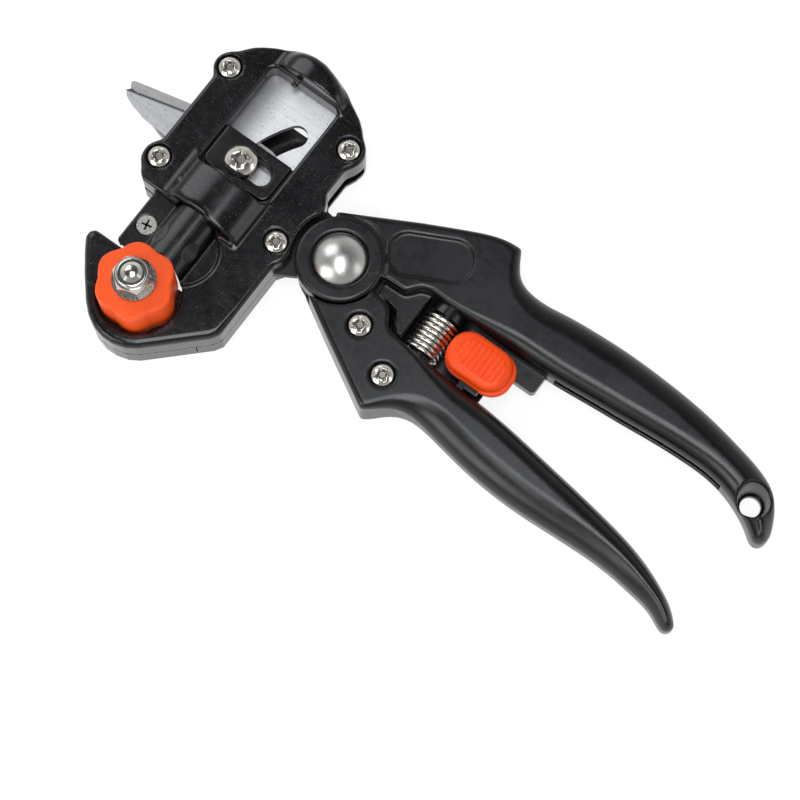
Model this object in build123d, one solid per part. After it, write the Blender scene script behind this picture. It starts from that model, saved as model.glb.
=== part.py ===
from build123d import *
import math
import os

os.makedirs("parts", exist_ok=True)

# ------------------------------------------------------------------
# Grafting knife: pruner handles, a bypass blade at the tip and a sliding
# omega cutter that presses down on a round anvil.
# Working frame: the main pivot is at x = y = 0, z = 0 is the back plane.
# +X runs to the handle ends, +Y away from the anvil, +Z out of the front.
# Millimetres.
# ------------------------------------------------------------------

# heights of the stack
Z_BACK = 0.0
BACK_FLOOR = 2.2
LEVER_Z0, LEVER_Z1 = 4.3, 6.3        # moving blade and lever plate
PART_Z = 7.0                         # parting plane of the two covers
PLATE_Z0, PLATE_Z1 = 6.6, 8.6        # fixed plate with the counter blade
FACE_Z = 15.0                        # flat front face
SKIN_Z = 13.2                        # underside of the front skin
HUMP_Z = 20.0                        # crest of the raised tunnel
HUMP_IN_Z = 18.2                     # crest of the tunnel's inside

# handles
HANDLE_Z0, HANDLE_Z1 = 0.0, 15.0
HANDLE_ROUND = 4.2
HUB_R = 12.7
HUB_Z0 = 8.9
HUB_CUT_R = 13.3
LOW_HUB_R = 12.3
LOW_HUB_Z0, LOW_HUB_Z1 = 1.0, 4.05

# main pivot
PIVOT_R = 4.0
PIVOT_RUN = 0.05
PIVOT_HEAD_R = 7.4
PIVOT_RECESS_R = 8.1

# drive between lever and slider
DRIVE_X, DRIVE_Y = -39.6, 6.6
DRIVE_BUSH_R = 2.5
DRIVE_SCREW_R = 1.85
DRIVE_R = math.hypot(DRIVE_X, DRIVE_Y)
DRIVE_A0 = math.degrees(math.atan2(DRIVE_Y, DRIVE_X))
SWING = 25.0
SLIDE = 16.354

# cutter and anvil
CUT_X = -39.4
ANVIL_X, ANVIL_Y = -39.4, -40.9
ANVIL_TIP_R, ANVIL_VALLEY_R = 11.3, 10.15
ANVIL_Z0, ANVIL_Z1 = 10.0, 25.4
BOLT_R = 3.0
BLADE_EDGE_Y = -29.2

# screws
SCREW_XY = [(-59.2, -5.9), (-17.4, -6.6), (-17.2, 27.3)]
SHORT_XY = (-59.4, 27.3)
SCREW_HEAD_R = 3.3
SCREW_RECESS_R = 3.75
SCREW_R = 1.75
FIT = 0.05                           # slack of a fastener in its hole


def face(points):
    return make_face(Polyline(*points, close=True))


def block(x0, x1, y0, y1, z0, z1):
    return Pos((x0 + x1) / 2, (y0 + y1) / 2, (z0 + z1) / 2) * Box(x1 - x0, y1 - y0, z1 - z0)


def rod(x, y, r, z0, z1):
    return Pos(x, y, (z0 + z1) / 2) * Cylinder(r, z1 - z0)


def prism(sketch, z0, z1):
    return extrude(Pos(0, 0, z0) * sketch, z1 - z0, dir=(0, 0, 1))


def one(shape):
    """The same solids as one part."""
    solids = shape.solids()
    if len(solids) == 1:
        return solids[0]
    return Compound(children=list(solids))


def rounded(solid, edges, radii):
    for r in radii:
        try:
            new = fillet(edges, r)
            if new.is_valid and new.volume > 0.5 * solid.volume:
                return new
        except Exception:
            pass
    return solid


def polar(r, deg):
    return (r * math.cos(math.radians(deg)), r * math.sin(math.radians(deg)))


def phillips(x, y, z, arm, width, depth, turn):
    """Cross recess cut down from z."""
    a = Pos(x, y, z - depth / 2) * Rot(0, 0, turn) * Box(2 * arm, width, depth)
    b = Pos(x, y, z - depth / 2) * Rot(0, 0, turn) * Box(width, 2 * arm, depth)
    tip = Pos(x, y, z - depth - 0.25) * Cone(0.4, 1.05, 1.1)
    return a + b + tip


def dome(x, y, r, z0, rise):
    """Spherical cap of radius r and height rise standing on z0."""
    R = (r * r + rise * rise) / (2 * rise)
    ball = Pos(x, y, z0 + rise - R) * Sphere(R)
    return ball & rod(x, y, r + 0.01, z0, z0 + rise + 0.1)


def hexagon(x, y, flats, z0, z1, turn=0):
    return prism(Pos(x, y, 0) * Rot(0, 0, turn) * RegularPolygon(flats / math.sqrt(3), 6), z0, z1)


# ------------------------------------------------------------------
# Outline of the head: guide housing, column and jaw
# ------------------------------------------------------------------
HEAD_TOP = [(-61.6, 24.0), (-61.9, 30.6), (-59.6, 33.8), (-57.5, 36.3), (-55.0, 38.2), (-52.0, 40.0),
            (-47.6, 41.9), (-44.5, 43.0), (-40.5, 43.5), (-36.5, 43.3), (-32.5, 42.2), (-28.5, 40.7),
            (-24.0, 38.6), (-20.0, 36.4), (-17.2, 34.0), (-14.6, 30.6)]
HEAD_RIGHT = [(-12.6, 27.6), (-12.9, 24.8), (-14.3, 21.6), (-14.4, 13.4), (-12.2, 9.8), (-12.2, -10.4),
              (-13.7, -12.6), (-13.7, -37.0), (-15.1, -39.4)]
JAW = [(-30.0, -53.9), (-33.0, -55.8), (-36.5, -56.8), (-40.0, -56.9), (-43.5, -56.0), (-46.8, -54.2),
       (-50.0, -51.3), (-55.0, -45.5), (-59.3, -39.9), (-61.5, -36.6), (-61.5, -34.6), (-59.9, -33.2)]
THROAT = [(-38.0, -33.2), (-38.0, -14.2)]
HEAD_LEFT = [(-58.6, -14.2), (-60.6, -12.6), (-63.2, -8.4), (-61.6, -1.5)]

head2d = face(HEAD_TOP + HEAD_RIGHT + JAW + THROAT + HEAD_LEFT)
for bx, by in [SHORT_XY] + SCREW_XY:
    head2d = head2d + Pos(bx, by) * Circle(4.7)
POCKET_X, POCKET_Y, POCKET_R = -36.5, -24.0, 9.7
head2d = head2d - Pos(POCKET_X, POCKET_Y) * Circle(POCKET_R)
head2d = head2d - Circle(13.9)
head2d = head2d - face([(-75, -33.2), (-38, -33.2), (-38, -14.2), (-75, -14.2)])

# ------------------------------------------------------------------
# Fixed plate with the counter blade
# ------------------------------------------------------------------
teeth = []
n_teeth = 15
for i in range(n_teeth):
    t = i / n_teeth
    t2 = (i + 0.5) / n_teeth
    x0 = -77.4 + t * (77.4 - 62.6)
    x1 = -77.4 + t2 * (77.4 - 62.6)
    yy = lambda x: 7.5 + (x + 77.4) * (11.2 - 7.5) / 14.8
    teeth.append((x0, yy(x0) - 0.35))
    teeth.append((x1, yy(x1) + 0.05))
PLATE = [(-62.3, 11.1), (-62.3, 12.2), (-59.4, 14.0), (-59.2, 20.0), (-62.6, 24.4), (-63.0, 28.6),
         (-60.4, 31.2), (-57.6, 31.4), (-55.0, 35.2), (-50.0, 38.2), (-44.0, 40.4), (-38.0, 40.8), (-32.0, 39.6), (-26.0, 37.0),
         (-20.5, 33.8), (-15.4, 29.8), (-14.9, 25.6), (-16.8, 21.6), (-16.8, 12.8), (-11.0, 6.0)]
PLATE_LOW = [(-8.0, -10.0), (-12.2, -12.4), (-16.2, -14.4), (-16.2, -36.0), (-31.6, -51.4), (-36.5, -54.0), (-43.0, -53.4),
             (-48.2, -49.4), (-57.4, -38.4), (-57.6, -35.6), (-38.0, -35.6), (-30.6, -33.0), (-25.2, -26.0),
             (-25.2, -21.0), (-29.4, -14.6), (-34.0, -12.2), (-54.0, -12.2), (-61.6, -9.4), (-62.9, -6.0),
             (-61.0, -1.8), (-60.0, 1.2), (-66.9, 2.0), (-71.9, 2.3), (-76.9, 3.5), (-79.6, 4.6), (-80.9, 6.0),
             (-79.8, 7.2)]
plate2d = face(teeth + PLATE + [(-6.0, 4.0), (-4.0, -4.0)] + PLATE_LOW)
plate2d = plate2d + Circle(12.2)
TANG = [(-3.0, 11.0), (8.0, 17.5), (30.0, 26.5), (36.0, 26.0), (62.0, 20.5), (86.0, 20.0), (88.0, 17.8), (86.0, 15.6),
        (62.0, 14.6), (30.0, 11.0), (26.4, 7.6), (26.3, 3.2), (26.3, -7.0), (24.4, -7.0), (22.6, -5.0),
        (20.9, -1.9), (16.2, -0.9), (13.6, -0.8), (8.0, 0.0), (0.0, 0.0)]
plate2d = plate2d + face(TANG)
# arc slot that the drive pin runs in, centred on the pivot
SLOT_R, SLOT_HALF = 40.45, 3.3
a_lo = DRIVE_A0 - SWING - 0.9
a_hi = DRIVE_A0 + 0.9
arc_pts_out = [polar(SLOT_R + SLOT_HALF, a_lo + (a_hi - a_lo) * i / 16) for i in range(17)]
arc_pts_in = [polar(SLOT_R - SLOT_HALF, a_hi - (a_hi - a_lo) * i / 16) for i in range(17)]
slot2d = face(arc_pts_out + arc_pts_in)
slot2d = slot2d + Pos(*polar(SLOT_R, a_lo)) * Circle(SLOT_HALF) + Pos(*polar(SLOT_R, a_hi)) * Circle(SLOT_HALF)
plate_solid2d = plate2d
plate2d = plate2d - slot2d
plate2d = plate2d - Circle(PIVOT_R + FIT)
plate2d = plate2d - Pos(ANVIL_X, ANVIL_Y) * Circle(BOLT_R + FIT)
for bx, by in [SHORT_XY] + SCREW_XY:
    plate2d = plate2d - Pos(bx, by) * Circle(SCREW_R + FIT)
for hx, hy in [(46.0, 17.6), (74.0, 17.8)]:
    plate2d = plate2d - Pos(hx, hy) * Circle(2.0)
frame_plate = prism(plate2d, PLATE_Z0, PLATE_Z1)
# ground bevel along the lower edge of the counter blade
bevel = Plane.YZ * make_face(Polyline((-2.0, PLATE_Z1 + 0.5), (-2.0, PLATE_Z1 - 1.3), (4.6, PLATE_Z1 + 0.5), close=True))
bevel = extrude(Pos(-84, 0, 0) * bevel, 21.6, dir=(1, 0, 0))
frame_plate = frame_plate - Pos(0, 1.0, 0) * bevel
frame_plate = one(frame_plate)

# ------------------------------------------------------------------
# Covers
# ------------------------------------------------------------------
inner2d = offset(head2d, -2.2)

front = prism(head2d, PART_Z, FACE_Z)
outer_edges = [e for e in front.edges().filter_by_position(Axis.Z, FACE_Z - 0.01, FACE_Z + 0.01)]
front = rounded(front, outer_edges, [0.8, 0.6, 0.4])

# raised tunnel over the slider, one piece above the window and one below it
HUMP = [(-49.6, 14.8), (-47.5, 17.1), (-44.8, 19.0), (-41.5, 19.9), (-38.4, HUMP_Z), (-35.3, 19.9), (-32.0, 19.0),
        (-29.3, 17.1), (-27.2, 14.8)]
hump2d = make_face(Wire([Spline(*HUMP).edge(), Line(HUMP[-1], (-27.2, 14.0)).edge(), Line((-27.2, 14.0), (-49.6, 14.0)).edge(),
                         Line((-49.6, 14.0), HUMP[0]).edge()]))
hump = extrude(Plane.XZ.offset(13.6) * hump2d, -(13.6 + 43.2))
hump = hump & prism(head2d, 13.0, 21.0)
hump = rounded(hump, hump.edges().filter_by(lambda e: e.center().Z > 15.3 and
               (e.center().Y > 42.0 or e.center().Y < -13.2)), [1.6, 1.2, 0.8, 0.5])
front = front + hump
# thin floor in the right half of the round pocket; the slider runs below it
POCKET_FLOOR = 13.9
front = front + (rod(POCKET_X, POCKET_Y, POCKET_R + 0.2, SKIN_Z, POCKET_FLOOR) & block(-31.8, -20.0, -36.0, -12.0, 0, 30))

# slider way and tunnel
WAY_X0, WAY_X1 = -54.7, -24.3
front = front - block(WAY_X0, WAY_X1, -32.65, 32.0, PART_Z - 1, SKIN_Z)
def arch_face(points, z_low):
    first, last = points[0], points[-1]
    return make_face(Wire([Spline(*points).edge(), Line(last, (last[0], z_low)).edge(),
                           Line((last[0], z_low), (first[0], z_low)).edge(), Line((first[0], z_low), first).edge()]))


TUN = [(-46.9, 13.5), (-45.75, 15.8), (-43.3, 17.6), (-39.4, HUMP_IN_Z), (-35.5, 17.6), (-33.05, 15.8), (-31.9, 13.5)]
tun = extrude(Plane.XZ.offset(16.0) * arch_face(TUN, 12.0), -(16.0 + 20.0))
front = front - tun
# window
win2d = Pos(-38.0, 17.6) * RectangleRounded(23.6, 35.2, 2.4)
front = front - prism(win2d, PART_Z - 1, 24)
# hollow of the column and the jaw behind the face
col2d = face([(-22.4, -34.0), (-22.4, 8.0), (-16.4, 8.0), (-16.4, -34.0)])
col2d = col2d - Pos(-17.4, -6.6) * Circle(4.4)
front = front - prism(col2d & inner2d, PART_Z - 1, FACE_Z - 2.2)
top2d = inner2d & face([(-57, 33.5), (-57, 44), (-20, 44), (-20, 33.5)])
front = front - prism(top2d, PART_Z - 1, FACE_Z - 2.2)
# recess that the anvil wheel sits in
front = front - rod(ANVIL_X, ANVIL_Y, 12.1, ANVIL_Z0 - 0.3, 30)
front = front - rod(ANVIL_X, ANVIL_Y, BOLT_R + FIT, 0, 30)
# screw seats
for bx, by in [SHORT_XY] + SCREW_XY:
    front = front - rod(bx, by, SCREW_RECESS_R, FACE_Z - 1.4, 30)
    front = front - rod(bx, by, SCREW_R + FIT, 0, 30)
# raised rings round the two right-hand screws blend into the side wall
front = front - prism(offset(plate_solid2d, 0.08), PART_Z - 1, PLATE_Z1 + 0.02)
front = front - block(-64.5, WAY_X0 + 1, -0.2, 14.4, PART_Z - 1, PLATE_Z1 + 0.3)
front = one(front)

back = prism(head2d, Z_BACK, PART_Z)
back = rounded(back, back.edges().filter_by_position(Axis.Z, -0.01, 0.01), [0.8, 0.5])
# cavity that the lever plate swings in
swing2d = face([(-6, 24), (-26, 36.4), (-38, 45), (-52, 48), (-70, 46), (-70, -1.0), (-52, -1.8), (-40, -2.4), (-22, -3.3), (-12, -5.4)])
cav2d = (offset(head2d, -2.2) & face([(-58.6, 44), (-58.6, -2.6), (-52, -2.6), (-22, -3.6), (-12, -5.6), (-12, 44)])) + \
        (swing2d - face([(-47, 38.8), (-30, 38.8), (-14, 28.0), (-14, 50), (-47, 50)]))
for bx, by in (SCREW_XY[0], SCREW_XY[2]):
    cav2d = cav2d - Pos(bx, by) * Circle(3.0)
back = back - prism(cav2d, BACK_FLOOR, 12)
# small rear window behind the tip of the arc slot, and the slider throat
back = back - prism(Pos(-35.0, 29.6) * RectangleRounded(9.0, 6.0, 2.0), -1, 9)
back = back - prism(offset(plate_solid2d, 0.08), PLATE_Z0 - 0.02, 12)
back = back - rod(ANVIL_X, ANVIL_Y, BOLT_R + FIT, -1, 12)
back = back - rod(ANVIL_X, ANVIL_Y, 6.3, -1, 3.2)
back = back - prism(Pos(ANVIL_X, ANVIL_Y) * Rectangle(6.2, 6.2), 3.1, 5.2)
for bx, by in SCREW_XY:
    back = back - rod(bx, by, SCREW_R + FIT, -1, 12)
    back = back - hexagon(bx, by, 6.3, -1, 2.65)
# lightening ribs in the jaw and the column
for x0, x1, y0, y1 in [(-22.6, -16.4, -34.0, -24.0), (-22.6, -16.4, -22.4, -12.6),
                       (-28.6, -18.4, -42.8, -37.4), (-55.4, -53.0, -38.6, -36.0)]:
    back = back - block(x0, x1, y0, y1, 2.4, 8)
back = one(back)

# ------------------------------------------------------------------
# Cover fasteners
# ------------------------------------------------------------------
def pan_screw(x, y, z_seat, z_end, turn):
    z = z_seat + FIT
    s = rod(x, y, SCREW_HEAD_R, z, z + 0.9) + dome(x, y, SCREW_HEAD_R, z + 0.9, 1.3)
    s = s + rod(x, y, SCREW_R, z_end, z + 0.1)
    s = s - phillips(x, y, z + 2.3, 1.95, 0.75, 1.5, turn)
    return s


seat = FACE_Z - 1.4
cover_screws = Compound(children=[one(pan_screw(x, y, seat, 0.35, t))
                                  for (x, y), t in zip(SCREW_XY, (18, 40, 62))])
plate_screw = one(pan_screw(SHORT_XY[0], SHORT_XY[1], seat, PLATE_Z0 + 0.05, 75))
nuts = []
for x, y in SCREW_XY:
    n = hexagon(x, y, 6.0, 0.2, 2.6) - rod(x, y, SCREW_R + FIT, -1, 4)
    nuts.append(one(n))
cover_nuts = Compound(children=nuts)

# ------------------------------------------------------------------
# Lever plate with the moving blade
# ------------------------------------------------------------------
LEVER = [(-6.0, 10.2), (-20.0, 12.2), (-36.6, 16.3), (-46.0, 16.4), (-64.4, 14.0), (-77.6, 11.0), (-81.3, 10.1),
         (-81.9, 9.3), (-81.0, 7.9), (-78.6, 6.2), (-74.5, 4.3), (-68.6, 2.3), (-64.6, 1.1), (-55.0, -0.4),
         (-40.0, -1.2), (-20.0, -2.5), (-11.2, -4.6), (0.0, 0.0)]
lever2d = face(LEVER) + Circle(12.0)
ARM = [(0.0, 0.0), (-1.0, -11.8), (8.0, -16.0), (24.0, -25.2), (28.6, -26.2), (33.0, -24.6), (48.0, -21.0), (62.0, -21.6),
       (78.0, -22.6), (79.6, -20.8), (78.0, -18.8), (62.0, -16.6), (48.0, -14.0), (30.0, -12.6), (20.0, -9.0), (11.6, -3.6)]
lever2d = lever2d + face(ARM)
HANDLE_SCREWS = [(15.9, -12.2), (29.4, -20.0)]
lever2d = lever2d - Circle(PIVOT_R + PIVOT_RUN) - Pos(DRIVE_X, DRIVE_Y) * Circle(DRIVE_SCREW_R + FIT)
for hx, hy in HANDLE_SCREWS:
    lever2d = lever2d - Pos(hx, hy) * Circle(SCREW_R + FIT)
lever_plate = prism(lever2d, LEVER_Z0, LEVER_Z1)
# cutting bevel on the moving blade, ground on the back face
wedge = Plane.YZ * make_face(Polyline((-3.0, LEVER_Z0 - 0.5), (-3.0, LEVER_Z0 + 1.6), (5.0, LEVER_Z0 - 0.5), close=True))
wedge = extrude(wedge, 22.0, dir=(1, 0, 0))
lever_plate = lever_plate - Pos(-84.0, 4.6, 0) * Rot(0, 0, -14) * wedge
lever_plate = one(lever_plate)

# ------------------------------------------------------------------
# Drive pin: screw, running bush, nut
# ------------------------------------------------------------------
HEAD_SEAT = 14.75
drive_screw = dome(DRIVE_X, DRIVE_Y, 4.8, HEAD_SEAT + 0.6, 2.2) + rod(DRIVE_X, DRIVE_Y, 4.8, HEAD_SEAT, HEAD_SEAT + 0.6)
drive_screw = drive_screw + rod(DRIVE_X, DRIVE_Y, DRIVE_SCREW_R, 2.5, HEAD_SEAT + 0.1)
drive_screw = drive_screw - phillips(DRIVE_X, DRIVE_Y, HEAD_SEAT + 2.9, 2.9, 0.95, 1.9, 22)
drive_screw = one(drive_screw)
drive_bush = one(rod(DRIVE_X, DRIVE_Y, DRIVE_BUSH_R, LEVER_Z1 + 0.02, HEAD_SEAT - 0.02) - rod(DRIVE_X, DRIVE_Y, DRIVE_SCREW_R + FIT, 0, 20))
drive_nut = one(hexagon(DRIVE_X, DRIVE_Y, 6.4, 2.55, LEVER_Z0 - 0.02) - rod(DRIVE_X, DRIVE_Y, DRIVE_SCREW_R + FIT, 0, 20))

# ------------------------------------------------------------------
# Slider with its omega blade
# ------------------------------------------------------------------
SL_X0, SL_X1 = -54.2, -24.8
SL_Z0, SL_Z1 = 8.9, 12.85
SL_TOP, SL_BOT = 13.5, -32.2
slider = block(SL_X0, SL_X1, SL_BOT, SL_TOP, SL_Z0, SL_Z1)
slider = rounded(slider, slider.edges().filter_by(Axis.Z).filter_by(lambda e: e.center().Y < 0), [1.2])
RIDGE = [(-46.3, 13.2), (-45.2, 15.3), (-42.9, 17.0), (-39.4, 17.7), (-35.9, 17.0), (-33.6, 15.3), (-32.5, 13.2)]
ridge = extrude(Plane.XZ.offset(31.4) * arch_face(RIDGE, 12.0), -(31.4 - 0.6))
slider = slider + ridge
panel = prism(Pos(-38.05, 8.05) * RectangleRounded(22.3, 15.1, 2.5), SL_Z1 - 0.2, 14.4) & block(-60, 0, 0, SL_TOP, 0, 20)
slider = slider + panel
# cross slot for the drive bush
S_X0 = DRIVE_X - DRIVE_BUSH_R - 0.5
S_X1 = -29.9
S_H = 2.85
def slot_cut(h, x0, x1, z0, z1):
    core = block(x0 + h, x1 - h, DRIVE_Y - h, DRIVE_Y + h, z0, z1)
    return core + rod(x0 + h, DRIVE_Y, h, z0, z1) + rod(x1 - h, DRIVE_Y, h, z0, z1)
slider = slider - slot_cut(S_H, S_X0, S_X1, 0, 30)
slider = slider - slot_cut(S_H + 1.1, S_X0 - 1.1, S_X1 + 0.5, 13.5, 30)
# window for the anvil wheel, pocket for the clamp plate and the blade
slider = slider - rod(ANVIL_X, ANVIL_Y, ANVIL_TIP_R + 0.35, 0, 30)
BL_X0, BL_X1 = -53.0, -25.8
BL_Y1 = -10.4
slider = slider - block(BL_X0 - 0.05, BL_X1 + 0.05, BLADE_EDGE_Y - 6, BL_Y1 + 0.05, 0, 10.92)
OM_T = 0.6
OMEGA = [(-6.5, 10.3), (-2.5, 10.3), (-1.75, 10.9), (-1.75, 12.3), (-2.9, 13.5), (-3.1, 14.6), (-2.4, 15.9), (-0.9, 16.6),
         (0.9, 16.6), (2.4, 15.9), (3.1, 14.6), (2.9, 13.5), (1.75, 12.3), (1.75, 10.9), (2.5, 10.3), (6.5, 10.3)]
OM_IN = [(-6.5, 10.9), (-2.35, 10.9), (-2.35, 12.1), (-3.5, 13.3), (-3.7, 14.8), (-2.8, 16.4), (-1.0, 17.2),
         (1.0, 17.2), (2.8, 16.4), (3.7, 14.8), (3.5, 13.3), (2.35, 12.1), (2.35, 10.9), (6.5, 10.9)]
om_face = make_face(Polyline(*[(CUT_X + x, z) for x, z in OM_IN[1:-1]], close=True))
om_void = extrude(Plane.XZ.offset(33.0) * offset(om_face, FIT), -(33.0 + BL_Y1))
slider = slider - om_void
BLADE_SCREWS = [(-50.0, -23.7), (-28.8, -23.7)]
for bx, by in BLADE_SCREWS:
    slider = slider - rod(bx, by, 1.5 + FIT, 0, 30)
    slider = slider - (Pos(bx, by, SL_Z1 - 0.8) * Cone(1.6, 3.0, 1.62))
slider = one(slider)

omega2d = make_face(Polyline(*([(CUT_X + x, z) for x, z in OM_IN] + [(CUT_X + x, z) for x, z in reversed(OMEGA)]), close=True))
omega = extrude(Plane.XZ.offset(-BLADE_EDGE_Y) * omega2d, BLADE_EDGE_Y - BL_Y1)
wings = block(BL_X0, CUT_X - 6.4, -27.6, BL_Y1, 10.3, 10.9) + block(CUT_X + 6.4, BL_X1, -27.6, BL_Y1, 10.3, 10.9)
omega = omega + wings
for bx, by in BLADE_SCREWS:
    omega = omega - rod(bx, by, 1.5 + FIT, 0, 30)
edge_cut = Plane.YZ * make_face(Polyline((BLADE_EDGE_Y - 0.2, 9.0), (BLADE_EDGE_Y - 0.2, 10.7), (BLADE_EDGE_Y + 1.3, 10.25), (BLADE_EDGE_Y + 1.3, 9.0), close=True))
omega = omega - extrude(Pos(CUT_X - 6.6, 0, 0) * edge_cut, 4.3, dir=(1, 0, 0))
omega = omega - extrude(Pos(CUT_X + 2.3, 0, 0) * edge_cut, 4.3, dir=(1, 0, 0))
omega_blade = one(omega)

clamp = block(BL_X0, BL_X1, -27.6, BL_Y1, SL_Z0, 10.28)
clamp = clamp - block(CUT_X - 2.4, CUT_X + 2.4, -29, -18.0, 0, 30)
for bx, by in BLADE_SCREWS:
    clamp = clamp - rod(bx, by, 1.5 + FIT, 0, 30)
blade_clamp = one(clamp)

bs = []
for (bx, by), t in zip(BLADE_SCREWS, (12, 50)):
    s = Pos(bx, by, SL_Z1 - 0.75 - 0.05) * Cone(1.5, 2.85, 1.5)
    s = s + rod(bx, by, 1.5, SL_Z0 + 0.1, SL_Z1 - 1.0)
    s = s - phillips(bx, by, SL_Z1 + 0.05, 1.6, 0.6, 1.1, t)
    bs.append(one(s))
blade_screws = Compound(children=bs)

# ------------------------------------------------------------------
# Anvil wheel on its bolt
# ------------------------------------------------------------------
pts = []
for i in range(144):
    a = 2 * math.pi * i / 144
    k = (1 + math.cos(6 * a)) / 2
    r = ANVIL_VALLEY_R + (ANVIL_TIP_R - ANVIL_VALLEY_R) * (k ** 0.75)
    pts.append((ANVIL_X + r * math.cos(a), ANVIL_Y + r * math.sin(a)))
wheel2d = make_face(Spline(*pts[::3], periodic=True))
wheel = prism(wheel2d, ANVIL_Z0, ANVIL_Z1)
wheel = rounded(wheel, wheel.edges().filter_by_position(Axis.Z, ANVIL_Z1 - 0.01, ANVIL_Z1 + 0.01), [0.7, 0.5, 0.3])
wheel = wheel - rod(ANVIL_X, ANVIL_Y, BOLT_R + 0.06, 0, 40)
anvil_wheel = one(wheel)

WASH_Z0 = ANVIL_Z1 + 0.1
anvil_washer = one(rod(ANVIL_X, ANVIL_Y, 6.2, WASH_Z0, WASH_Z0 + 1.2) - rod(ANVIL_X, ANVIL_Y, 3.2, 0, 40))
NUT_Z0 = WASH_Z0 + 1.2 + 0.02
nut = hexagon(ANVIL_X, ANVIL_Y, 10.0, NUT_Z0, NUT_Z0 + 4.6, 20)
nut = nut & (rod(ANVIL_X, ANVIL_Y, 7.3, NUT_Z0, NUT_Z0 + 2.6) + (Pos(ANVIL_X, ANVIL_Y, NUT_Z0 + 3.6) * Cone(6.1, 4.9, 2.04)))
collar = rod(ANVIL_X, ANVIL_Y, 4.5, NUT_Z0 + 4.0, NUT_Z0 + 6.0)
collar = rounded(collar, collar.edges().filter_by_position(Axis.Z, NUT_Z0 + 5.99, NUT_Z0 + 6.01), [0.8])
nut = nut + collar
nut = nut - rod(ANVIL_X, ANVIL_Y, BOLT_R + FIT, 0, 40) - rod(ANVIL_X, ANVIL_Y, 3.65, NUT_Z0 + 4.2, NUT_Z0 + 7.0)
anvil_nut = one(nut)
nut_ring = one(rod(ANVIL_X, ANVIL_Y, 3.6, NUT_Z0 + 4.22, NUT_Z0 + 5.5) - rod(ANVIL_X, ANVIL_Y, BOLT_R + 0.02, 0, 40))
BOLT_TOP = NUT_Z0 + 7.4
bolt = rod(ANVIL_X, ANVIL_Y, BOLT_R, 2.0, BOLT_TOP - 1.3)
bolt = bolt + Pos(ANVIL_X, ANVIL_Y, BOLT_TOP - 1.3 + 0.5) * Cone(BOLT_R, 1.9, 1.0) + dome(ANVIL_X, ANVIL_Y, 1.9, BOLT_TOP - 0.35, 0.35)
bolt = bolt + rod(ANVIL_X, ANVIL_Y, 6.0, 1.6, 3.15) + (Pos(0, 0, 3.2) * Rot(180, 0, 0) * dome(ANVIL_X, -ANVIL_Y, 6.0, 1.6, 1.4))
bolt = bolt + prism(Pos(ANVIL_X, ANVIL_Y) * Rectangle(6.0, 6.0), 3.1, 5.1)
anvil_bolt = one(bolt)

# ------------------------------------------------------------------
# Upper handle (fixed to the plate)
# ------------------------------------------------------------------
def handle_wire(segments):
    edges = []
    for kind, points in segments:
        if kind == "line":
            for p, q in zip(points[:-1], points[1:]):
                edges.append(Line(p, q))
        else:
            edges.append(Spline(*points))
    return make_face(Wire([e.edge() if hasattr(e, "edge") else e for e in edges]))


U = [
    ("line", [(-9.4, 10.6), (12.0, 22.2)]),
    ("spline", [(12.0, 22.2), (21.8, 27.1), (29.7, 30.7), (35.0, 32.3), (39.0, 32.8)]),
    ("spline", [(39.0, 32.8), (40.2, 30.6), (41.9, 27.9), (43.8, 25.9), (46.4, 24.7), (50.0, 24.25), (55.0, 24.5),
                (60.0, 25.2), (70.0, 26.1), (80.0, 26.5), (90.0, 26.3), (100.0, 25.7), (110.0, 24.5), (120.0, 22.6),
                (130.0, 19.9), (134.4, 17.6), (137.8, 13.8), (140.0, 9.6), (141.1, 5.6), (140.5, 3.5),
                (138.6, 2.6), (136.2, 3.7), (134.0, 5.3), (130.0, 7.5), (125.0, 9.5), (120.0, 10.7), (115.0, 11.2),
                (110.0, 11.2), (100.0, 10.7), (90.0, 9.8), (80.0, 9.0), (70.0, 8.1), (60.0, 7.6), (40.0, 7.4), (26.0, 7.5)]),
    ("line", [(26.0, 7.5), (23.4, 6.6), (20.4, 3.0), (12.4, 2.6), (4.0, -4.0), (-9.4, 10.6)]),
]
upper2d = handle_wire(U)
upper = prism(upper2d, HANDLE_Z0, HANDLE_Z1)
sel = upper.edges().filter_by(lambda e: (abs(e.center().Z - HANDLE_Z1) < 0.01 or abs(e.center().Z - HANDLE_Z0) < 0.01)
                              and e.length > 100)
upper = rounded(upper, sel, [HANDLE_ROUND, 3.6, 3.0, 2.4, 1.8, 1.2])
sel = upper.edges().filter_by(lambda e: (abs(e.center().Z - HANDLE_Z1) < 0.01) and e.center().Y > 12 and e.center().X < 36 and e.length > 15)
upper = rounded(upper, sel, [1.5, 1.0, 0.6])
upper = upper - rod(0, 0, HUB_CUT_R, -1, HUB_Z0)
upper = upper - block(-20, -3.0, -20, 30, -1, PLATE_Z1 + 0.3)
hub = rod(0, 0, HUB_R, HUB_Z0, HANDLE_Z1)
hub = rounded(hub, hub.edges().filter_by_position(Axis.Z, HANDLE_Z1 - 0.01, HANDLE_Z1 + 0.01), [0.8])
upper = upper - rod(0, 0, HUB_R - 0.5, HUB_Z0, HANDLE_Z1 + 1) + hub
upper = upper - rod(0, 0, PIVOT_R + FIT, -1, 30) - rod(0, 0, PIVOT_RECESS_R, HANDLE_Z1 - 1.2, 30)
# slanted oval panel
panel2d = Pos(20.2, 15.2) * Rot(0, 0, 27) * RectangleRounded(24.0, 12.6, 5.6)
upper = upper - prism(panel2d, HANDLE_Z1 - 0.8, HANDLE_Z1 + 1)
# pocket for the steel tang
tang2d = offset(face(TANG), 0.06)
upper = upper - (prism(tang2d, PLATE_Z0 - 0.04, PLATE_Z1 + 0.04))
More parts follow.
